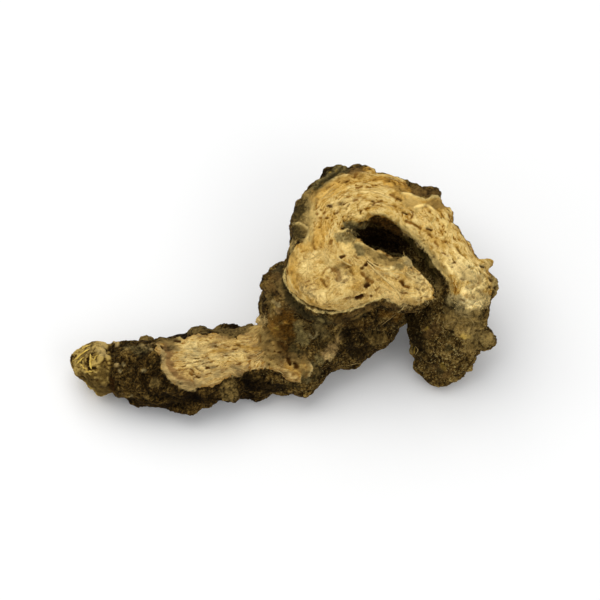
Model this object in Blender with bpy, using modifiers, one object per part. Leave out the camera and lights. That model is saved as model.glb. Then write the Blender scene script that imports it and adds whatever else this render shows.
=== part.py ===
"""A dried, cut atractylodes rhizome: one hooked, knobby piece with two sliced faces.

The whole piece is one closed body. Limbs are drawn in millimetres as runs of spheres, joined into
rounded cones, fused by a voxel remesh, sliced, and given their warty bark by formula.
"""
import math

import bmesh
import bpy
from mathutils import Matrix, Vector, noise

MM = 0.001
NAME = "rhizome"
TRIANGLES = 9600
FUSE_VOXEL = 0.55
FINISH_VOXEL = 0.5
SLICE_HEIGHT = 24.6
ARM_SLICE_HEIGHT = 11.8
REST_DEPTH = 0.9
LEVEL_DEPTH = 0.2

# Each point is x, y, z and radius.
ARM = [
    (-36.0, -19.4, 6.4, 5.8),
    (-31.0, -20.0, 6.8, 6.4),
    (-26.0, -20.0, 6.8, 7.1),
    (-19.5, -19.6, 7.2, 7.3),
    (-13.0, -17.2, 7.6, 6.1),
    (-6.0, -16.6, 8.0, 5.9),
    (0.0, -17.0, 7.4, 6.3),
    (4.0, -13.0, 8.0, 6.6),
]
ARM_KEEL = [
    (-15.0, -19.2, 5.0, 5.4),
    (-9.0, -18.6, 4.8, 5.2),
    (-1.0, -18.2, 5.0, 5.4),
]
BUD = [
    (-39.6, -18.9, 6.1, 5.5),
    (-42.0, -17.8, 6.6, 4.1),
    (-44.0, -17.2, 7.0, 2.2),
]
BULK = [
    (7.0, -6.0, 8.0, 8.0),
    (7.0, -6.6, 13.0, 9.2),
    (6.4, -6.4, 20.0, 9.1),
    (5.0, -3.0, 21.0, 8.0),
]
BULK_FRONT = [
    (3.0, -11.0, 7.4, 7.4),
    (8.6, -10.6, 8.0, 8.0),
    (13.2, -9.0, 9.2, 7.0),
    (15.0, -8.0, 14.0, 6.2),
]
SHOULDER = [
    (-1.0, -9.5, 9.0, 7.0),
    (-1.2, -7.6, 14.6, 6.6),
    (4.0, -5.0, 17.0, 7.5),
]
LOBE = [
    (12.0, -6.6, 20.5, 6.6),
    (16.6, -8.0, 21.4, 5.0),
    (20.8, -9.8, 22.2, 4.8),
    (24.6, -11.4, 23.4, 2.6),
]
ARCH = [
    (4.0, -1.0, 20.5, 7.0),
    (3.2, 4.0, 21.2, 6.2),
    (5.6, 9.0, 21.2, 6.2),
    (11.2, 12.2, 21.0, 6.5),
    (17.8, 11.2, 21.0, 6.0),
    (24.2, 7.2, 21.0, 5.4),
    (29.0, 1.2, 20.6, 4.9),
    (33.2, -5.0, 20.6, 5.2),
    (34.6, -10.6, 19.6, 5.6),
]
ARCH_DEPTH = [
    (5.0, 1.0, 14.0, 7.0),
    (6.4, 7.0, 14.0, 6.6),
    (12.0, 11.2, 14.2, 6.0),
    (18.6, 11.0, 14.6, 5.4),
    (24.6, 7.2, 15.0, 5.0),
    (29.4, 1.0, 14.8, 4.8),
    (33.6, -5.0, 13.6, 5.8),
]
BACK_FOOT = [
    (6.0, -2.0, 7.4, 7.4),
    (7.6, 4.6, 7.6, 6.6),
    (12.4, 9.0, 5.1, 5.8),
    (17.0, 9.6, 8.0, 5.0),
]
LEG = [
    (34.2, -10.4, 19.0, 5.2),
    (32.4, -9.8, 15.6, 5.7),
    (29.9, -9.8, 10.6, 7.6),
    (29.2, -11.8, 7.2, 7.2),
    (28.4, -15.8, 4.8, 5.5),
]
HOLLOW_FLOOR = [
    (13.0, -1.0, 5.4, 5.4),
    (18.0, 2.4, 5.6, 5.0),
    (24.0, 1.2, 5.8, 4.4),
    (28.6, -4.6, 6.4, 5.0),
]
LIMBS = [
    ARM, ARM_KEEL, BUD, BULK, BULK_FRONT, SHOULDER, LOBE, ARCH, ARCH_DEPTH, BACK_FOOT, LEG, HOLLOW_FLOOR,
]

KNOBS = [
    (-14.0, -24.4, 6.2, 2.4),
    (-18.4, -25.6, 7.4, 2.0),
    (-22.8, -25.8, 5.0, 2.6),
    (-33.0, -24.4, 4.8, 2.2),
    (-19.6, -12.8, 8.8, 2.7),
    (-14.6, -12.2, 8.4, 2.5),
    (-33.0, -15.4, 8.0, 2.0),
    (-8.4, -22.6, 3.8, 2.4),
    (1.4, -22.4, 6.0, 2.5),
    (4.8, -18.0, 10.0, 3.4),
    (-6.0, -11.6, 16.4, 2.8),
    (-5.6, -6.0, 18.4, 2.6),
    (-4.4, -13.4, 12.6, 2.8),
    (9.4, -14.6, 13.4, 3.4),
    (15.6, -13.4, 9.8, 2.6),
    (13.2, -14.2, 17.6, 2.4),
    (20.8, -4.8, 23.2, 2.0),
    (-1.0, 4.4, 19.4, 2.4),
    (1.6, 10.4, 20.0, 2.4),
    (6.4, 16.4, 20.8, 2.8),
    (11.6, 17.6, 18.8, 2.3),
    (20.0, 15.4, 19.0, 2.2),
    (26.6, 12.6, 21.6, 2.0),
    (29.6, 8.8, 19.6, 2.2),
    (37.4, -2.8, 20.6, 2.0),
    (38.4, -8.8, 19.2, 2.1),
    (36.6, -14.2, 10.0, 2.8),
    (32.2, -17.0, 6.6, 2.4),
    (23.8, -13.6, 11.4, 2.2),
    (29.6, -17.4, 12.8, 2.3),
    (32.6, -16.4, 17.0, 2.0),
    (37.0, -4.4, 10.4, 2.6),
    (23.0, 13.2, 13.6, 2.6),
    (9.6, 16.4, 11.2, 2.8),
    (-0.6, 8.4, 11.6, 3.2),
    (-3.8, 0.4, 10.0, 2.8),
    (15.0, 13.4, 5.4, 2.8),
]

# Broken rootlets: root point, direction, length and radius at the root.
STUBS = [
    ((-25.0, -24.2, 3.6), (-0.3, -1.0, -0.1), 1.6, 1.6),
    ((-10.6, -13.0, 5.0), (0.1, 1.0, 0.1), 3.4, 1.6),
    ((-29.6, -14.6, 5.0), (-0.4, 1.0, 0.0), 3.0, 1.4),
    ((-1.6, 6.0, 6.0), (-0.1, 1.0, -0.1), 3.6, 1.7),
    ((2.6, 12.4, 13.0), (-0.2, 1.0, -0.3), 3.2, 1.5),
    ((9.0, 14.6, 7.0), (-0.2, 1.0, -0.1), 3.6, 1.6),
    ((20.6, 14.6, 12.0), (0.2, 1.0, -0.5), 3.0, 1.5),
    ((30.2, 4.4, 10.6), (0.5, 1.0, -0.5), 3.2, 1.6),
    ((35.0, -3.4, 8.6), (0.5, 0.8, -0.5), 3.0, 1.5),
    ((33.0, -6.0, 5.0), (0.6, 0.8, -0.1), 2.6, 1.6),
]


def spline(points, steps=3):
    """Passes a smooth run of spheres through the given ones."""
    run = []
    last = len(points) - 1
    for index in range(last):
        before = Vector(points[max(index - 1, 0)])
        start = Vector(points[index])
        end = Vector(points[index + 1])
        after = Vector(points[min(index + 2, last)])
        for step in range(steps):
            t = step / steps
            bend = (2 * before - 5 * start + 4 * end - after) * t * t
            twist = (3 * start - before - 3 * end + after) * t * t * t
            run.append((2 * start + (end - before) * t + bend + twist) / 2)
    run.append(Vector(points[last]))
    return run


def add_hull(target, spheres):
    """Adds the convex hull of a few spheres to the target mesh."""
    hull = bmesh.new()
    for sphere in spheres:
        place = Matrix.Translation(sphere.xyz * MM)
        bmesh.ops.create_icosphere(hull, subdivisions=2, radius=sphere.w * MM, matrix=place)
    found = bmesh.ops.convex_hull(hull, input=hull.verts)
    bmesh.ops.delete(hull, geom=list({*found["geom_interior"], *found["geom_unused"]}), context="VERTS")
    mesh = bpy.data.meshes.new("hull")
    hull.to_mesh(mesh)
    hull.free()
    target.from_mesh(mesh)
    bpy.data.meshes.remove(mesh)


def build_limbs():
    """Joins every limb, knob and stub into one mesh of overlapping hulls."""
    limbs = bmesh.new()
    for limb in LIMBS:
        run = spline([Vector(point) for point in limb])
        for start, end in zip(run, run[1:]):
            add_hull(limbs, [start, end])
    for knob in KNOBS:
        add_hull(limbs, [Vector(knob)])
    for root, direction, length, radius in STUBS:
        heading = Vector(direction).normalized()
        foot = Vector(root) - heading * 2.0
        tip = Vector(root) + heading * length
        add_hull(limbs, [Vector((*foot, radius * 1.4)), Vector((*tip, radius * 0.9))])
    mesh = bpy.data.meshes.new("limbs")
    limbs.to_mesh(mesh)
    limbs.free()
    return mesh


def ease(value, low, high):
    """Rises smoothly from 0 at low to 1 at high."""
    t = min(max((value - low) / (high - low), 0.0), 1.0)
    return t * t * (3 - 2 * t)


def upper_slice(x, y):
    """Height of the slice across the lobe and the arch."""
    lobe = math.exp(-((x - 7.0) ** 2 + (y + 8.0) ** 2) / 90.0)
    outer = ease(x, 22.0, 40.0)
    wave = 0.5 * noise.noise(Vector((x * 0.11, y * 0.11, 3.1)))
    return SLICE_HEIGHT + 1.2 * lobe - 1.3 * outer - 1.6 * ease(y, 10.0, 20.0) + wave


def arm_slice(x, y):
    """Height of the slice along the arm, rising at its left end and into the shoulder."""
    left = ease(-x, 27.4, 30.4)
    shoulder = ease(x, -9.0, 1.0) * ease(y, -19.0, -13.5)
    right = ease(x, 1.0, 7.0)
    wave = 0.6 * noise.noise(Vector((x * 0.16, y * 0.16, 8.4)))
    return ARM_SLICE_HEIGHT + 5.0 * left + 20.0 * shoulder + 20.0 * right + wave


def add_cutter(name, corner, size, height):
    """Makes a block whose underside follows a height formula."""
    columns = round(size[0])
    rows = round(size[1])
    middle = Vector((corner[0] + size[0] / 2, corner[1] + size[1] / 2, 0))
    block = bmesh.new()
    shape = Matrix.Translation(middle) @ Matrix.Diagonal((size[0] / 2, size[1] / 2, 1, 1))
    bmesh.ops.create_grid(block, x_segments=columns, y_segments=rows, size=1.0, matrix=shape)
    raised = bmesh.ops.extrude_face_region(block, geom=block.faces[:])
    top = {item for item in raised["geom"] if isinstance(item, bmesh.types.BMVert)}
    for vertex in block.verts:
        vertex.co.z = 36.0 if vertex in top else height(vertex.co.x, vertex.co.y)
    bmesh.ops.scale(block, vec=(MM, MM, MM), verts=block.verts)
    bmesh.ops.recalc_face_normals(block, faces=block.faces)
    mesh = bpy.data.meshes.new(name)
    block.to_mesh(mesh)
    block.free()
    cutter = bpy.data.objects.new(name, mesh)
    cutter.hide_render = True
    cutter.display_type = "WIRE"
    cutters.objects.link(cutter)
    return cutter


def apply_modifiers(target):
    """Replaces the mesh by the result of its modifiers."""
    graph = bpy.context.evaluated_depsgraph_get()
    old = target.data
    target.data = bpy.data.meshes.new_from_object(target.evaluated_get(graph))
    target.modifiers.clear()
    bpy.data.meshes.remove(old)


def add_voxels(target, size):
    """Fuses the mesh into even voxels."""
    fuse = target.modifiers.new("fuse", "REMESH")
    fuse.mode = "VOXEL"
    fuse.voxel_size = size * MM


def cut_share(point):
    """1 on the sliced faces, 0 on the bark."""
    x, y, z = point / MM
    upper = ease(z, upper_slice(x, y) - 1.2, upper_slice(x, y) - 0.3)
    on_arm = ease(-x, -5.0, -2.0) * ease(-y, 8.0, 10.0)
    arm = on_arm * ease(z, arm_slice(x, y) - 1.0, arm_slice(x, y) - 0.3)
    return max(upper, arm)


def bark_relief(point):
    """Warts, folds and the rings round the leg and the arm, in millimetres."""
    x, y, z = point / MM
    warts = noise.noise(Vector((x, y, z)) * 0.42)
    folds = noise.noise(Vector((x * 0.16, y * 0.2, z * 0.3 + 5.0)))
    leg = ease(x, 25.0, 30.0) * ease(-y, 2.0, 6.0) * math.sin(1.9 * z + 0.6 * x + 4.0 * folds)
    arm = ease(-x, 26.0, 29.0) * math.sin(2.2 * x + 0.3 * z + 4.0 * folds)
    neck = math.exp(-((x + 38.0) / 0.8) ** 2)
    return 0.6 * warts + 0.7 * folds + 0.18 * leg + 0.14 * arm - 0.7 * neck


def face_relief(point):
    """Long shallow grooves that follow the bend of the arch and the run of the arm."""
    x, y, _ = point / MM
    if y < -14.0 and x < 4.0:
        across = y * 1.5 + 0.1 * x
    else:
        across = 1.5 * math.hypot(x - 15.0, y + 6.0)
    wander = 1.4 * noise.noise(Vector((x * 0.1, y * 0.1, 0.7)))
    return 0.1 * math.sin(across + 2.0 * wander)


def add_relief(mesh):
    """Moves every vertex along its normal by the relief of the place it is on."""
    moves = []
    for vertex in mesh.vertices:
        cut = cut_share(vertex.co)
        height = cut * face_relief(vertex.co) + (1 - cut) * bark_relief(vertex.co)
        moves.append(vertex.normal * height * MM)
    for vertex, move in zip(mesh.vertices, moves):
        vertex.co += move


def rest_on_surface(mesh, depth):
    """Flattens the lowest spots, and puts the middle of the bounding box over the origin."""
    lowest = min(vertex.co.z for vertex in mesh.vertices)
    floor = lowest + depth * MM
    xs = [vertex.co.x for vertex in mesh.vertices]
    ys = [vertex.co.y for vertex in mesh.vertices]
    middle = Vector(((min(xs) + max(xs)) / 2, (min(ys) + max(ys)) / 2, floor))
    for vertex in mesh.vertices:
        vertex.co.z = max(vertex.co.z, floor)
        vertex.co -= middle


def make_material():
    """Dry brown bark."""
    bark = bpy.data.materials.new("bark")
    bark.use_nodes = True
    shader = bark.node_tree.nodes["Principled BSDF"]
    shader.inputs["Base Color"].default_value = (0.26, 0.18, 0.09, 1)
    shader.inputs["Roughness"].default_value = 0.85
    return bark


for old in list(bpy.data.objects):
    bpy.data.objects.remove(old, do_unlink=True)
parts = bpy.data.collections.new("atractylodes_rhizome")
cutters = bpy.data.collections.new("cutters")
bpy.context.scene.collection.children.link(parts)
bpy.context.scene.collection.children.link(cutters)

rhizome = bpy.data.objects.new(NAME, build_limbs())
parts.objects.link(rhizome)
add_voxels(rhizome, FUSE_VOXEL)
soften = rhizome.modifiers.new("soften", "SMOOTH")
soften.factor = 0.5
soften.iterations = 6
apply_modifiers(rhizome)

slices = [
    add_cutter("upper_slice", (-16.0, -28.0), (62.0, 54.0), upper_slice),
    add_cutter("arm_slice", (-50.0, -34.0), (57.0, 24.0), arm_slice),
]
for cutter in slices:
    cut = rhizome.modifiers.new(cutter.name, "BOOLEAN")
    cut.operation = "DIFFERENCE"
    cut.solver = "EXACT"
    cut.object = cutter
add_voxels(rhizome, FINISH_VOXEL)
apply_modifiers(rhizome)

add_relief(rhizome.data)
rest_on_surface(rhizome.data, REST_DEPTH)
thin = rhizome.modifiers.new("thin", "DECIMATE")
thin.ratio = TRIANGLES / sum(len(face.vertices) - 2 for face in rhizome.data.polygons)
apply_modifiers(rhizome)
rest_on_surface(rhizome.data, LEVEL_DEPTH)
rhizome.data.materials.clear()
rhizome.data.materials.append(make_material())
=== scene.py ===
"""A dried, cut atractylodes rhizome, dressed over its CAD solid. Lengths in the tables are millimetres."""
import math
import random

import bmesh
import bpy
import numpy as np
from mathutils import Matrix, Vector, noise
from mathutils.bvhtree import BVHTree
from mathutils.kdtree import KDTree


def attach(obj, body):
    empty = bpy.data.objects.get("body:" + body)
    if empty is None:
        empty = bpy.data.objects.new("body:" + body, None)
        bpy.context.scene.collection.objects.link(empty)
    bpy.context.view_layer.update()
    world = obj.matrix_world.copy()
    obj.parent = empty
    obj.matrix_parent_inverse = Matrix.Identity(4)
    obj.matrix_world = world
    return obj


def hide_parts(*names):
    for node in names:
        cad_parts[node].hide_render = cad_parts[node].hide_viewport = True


MM = 0.001
SKIN_VOXEL = 0.53
SKIN_SMOOTHING = 4
# Where the origin of the solid's own drawing lies in the shared frame.
DRAWING = np.array([3.14, 4.15, -0.19])

# The view: from the front, well above. Places in the tables below are across and up this view.
VIEW_ELEVATION = math.radians(62)
VIEW_CENTRE = np.array([3.14, -2.22, 11.8])
VIEW_DISTANCE = 1500
VIEW_WIDTH = 120
SENSOR = 36
TOWARDS_VIEW = np.array([0, -math.cos(VIEW_ELEVATION), math.sin(VIEW_ELEVATION)])
VIEW_UP = np.array([0, math.sin(VIEW_ELEVATION), math.cos(VIEW_ELEVATION)])
VIEW_PLACE = VIEW_CENTRE + TOWARDS_VIEW * VIEW_DISTANCE

# The run of the fibres on the cut faces, seen from above.
HOOK_GRAIN = [
    (26.0, -7.6), (18.0, -5.0), (10.0, -4.0), (6.4, 0.4), (6.0, 7.2), (8.8, 13.2), (14.4, 16.2),
    (21.0, 15.2), (27.3, 11.3), (32.1, 5.3), (36.3, -0.9), (37.6, -8.0), (36.0, -16.0),
]
ARM_GRAIN = [(-42.0, -13.4), (-33.0, -15.4), (-16.4, -15.4), (-3.0, -12.8), (4.0, -12.4), (8.0, -9.0)]

# Outlines of the cut faces.
HOOK_FACE = [
    (-2.8, 6.8), (-2.4, 8.8), (-1.4, 10.4), (0.6, 11.4), (1.4, 13.2), (1.4, 15.6), (1.6, 17.6), (1.8, 19.8),
    (3.0, 21.6), (5.0, 23.4), (7.2, 25.0), (10.0, 25.8), (12.6, 26.0), (14.8, 28.2), (17.4, 27.0),
    (20.0, 25.4), (21.4, 22.6), (22.8, 20.8), (24.8, 20.2), (27.4, 20.6), (30.4, 20.0), (32.0, 18.0),
    (33.0, 15.6), (34.6, 12.8), (35.6, 11.6), (37.6, 10.0), (39.6, 8.8), (40.4, 6.8), (38.0, 5.2),
    (38.6, 3.4), (38.4, 1.2), (36.6, 0.0), (34.8, -1.0), (32.4, -1.4), (31.0, 0.0), (30.4, 1.8),
    (29.8, 4.4), (28.2, 6.0), (26.6, 8.4), (25.4, 10.0), (22.6, 12.2), (19.8, 14.4), (17.0, 16.2),
    (14.8, 17.2), (13.0, 16.3), (11.2, 15.4), (9.0, 14.8), (8.0, 14.2), (9.2, 13.4), (11.0, 13.2),
    (12.0, 11.8), (14.6, 10.4), (17.2, 9.2), (20.4, 8.6), (21.6, 9.2), (22.6, 7.4), (24.0, 6.0),
    (26.2, 4.2), (27.2, 2.4), (26.8, 0.4), (25.2, -0.4), (22.8, -0.8), (21.2, -0.6), (20.0, -1.2),
    (17.6, 0.4), (15.2, 0.2), (12.2, -1.0), (10.0, -1.6), (7.2, -2.3), (4.1, -1.7), (1.0, -0.4),
    (-2.0, 1.9), (-3.4, 4.8),
]
ARM_FACE = [
    (-29.0, -10.2), (-27.6, -11.0), (-27.6, -14.2), (-26.4, -15.8), (-24.0, -17.6), (-22.0, -18.0),
    (-19.6, -17.3), (-17.4, -17.3), (-15.8, -16.2), (-13.8, -15.3), (-11.4, -14.8), (-9.8, -14.0),
    (-6.6, -13.8), (-4.0, -14.4), (-2.6, -16.0), (-0.6, -16.6), (1.4, -15.4), (2.6, -13.4), (1.8, -12.2),
    (0.0, -11.8), (-1.8, -11.2), (-3.4, -10.0), (-4.6, -8.4), (-5.6, -6.8), (-6.8, -5.4), (-8.4, -4.8),
    (-9.6, -5.0), (-10.8, -6.2), (-12.8, -7.6), (-15.6, -6.8), (-19.0, -6.6), (-22.0, -7.2), (-24.8, -7.6),
    (-27.4, -8.2), (-28.8, -8.8),
]
# The opening inside the arch, painted dark as shade, and the arch's smooth rim over it.
HOLLOW = [
    (12.0, 15.0), (13.2, 16.4), (14.8, 17.2), (17.0, 15.8), (19.4, 13.6), (21.2, 11.4), (22.4, 9.2),
    (22.6, 7.4), (21.6, 8.8), (20.4, 8.6), (17.2, 9.2), (14.6, 10.4), (12.0, 11.8), (11.0, 13.2),
    (11.0, 14.4),
]
HOLLOW_RIM = [(17.0, 16.2), (19.8, 14.4), (22.6, 12.2), (25.4, 10.0), (28.2, 6.0), (29.8, 4.4), (30.4, 1.8)]

MARK_COLOURS = {
    "black": (0.011, 0.006, 0.0015),
    "dark olive": (0.048, 0.034, 0.010),
    "shade olive": (0.055, 0.040, 0.014),
    "olive": (0.12, 0.076, 0.020),
    "moss": (0.10, 0.070, 0.017),
    "grey olive": (0.20, 0.15, 0.054),
    "olive tan": (0.29, 0.19, 0.055),
    "grey": (0.23, 0.172, 0.058),
    "flap": (0.45, 0.34, 0.14),
    "tan edge": (0.47, 0.325, 0.105),
    "brown tan": (0.24, 0.145, 0.038),
    "umber": (0.14, 0.078, 0.022),
    "rust": (0.140, 0.058, 0.005),
    "deep rust": (0.060, 0.024, 0.003),
    "ochre": (0.44, 0.235, 0.040),
    "orange": (0.50, 0.26, 0.042),
    "gold": (0.46, 0.30, 0.050),
    "pink": (0.35, 0.225, 0.080),
    "cortex pink": (0.29, 0.160, 0.052),
    "beige": (0.62, 0.43, 0.16),
    "cortex": (0.22, 0.145, 0.045),
    "pale": (0.76, 0.55, 0.21),
    "smooth cream": (0.72, 0.50, 0.155),
    "cream white": (0.95, 0.75, 0.33),
    "edge": (0.74, 0.54, 0.19),
    "bud tan": (0.44, 0.30, 0.092),
    "bud pale": (0.52, 0.37, 0.135),
    "bud brown": (0.115, 0.068, 0.016),
    "brown": (0.15, 0.062, 0.009),
    "dark": (0.040, 0.014, 0.002),
}
# The least of each mark's colour in reach of it, so that its edge has a colour to fade from.
MARK_TRACE = 0.001
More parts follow.
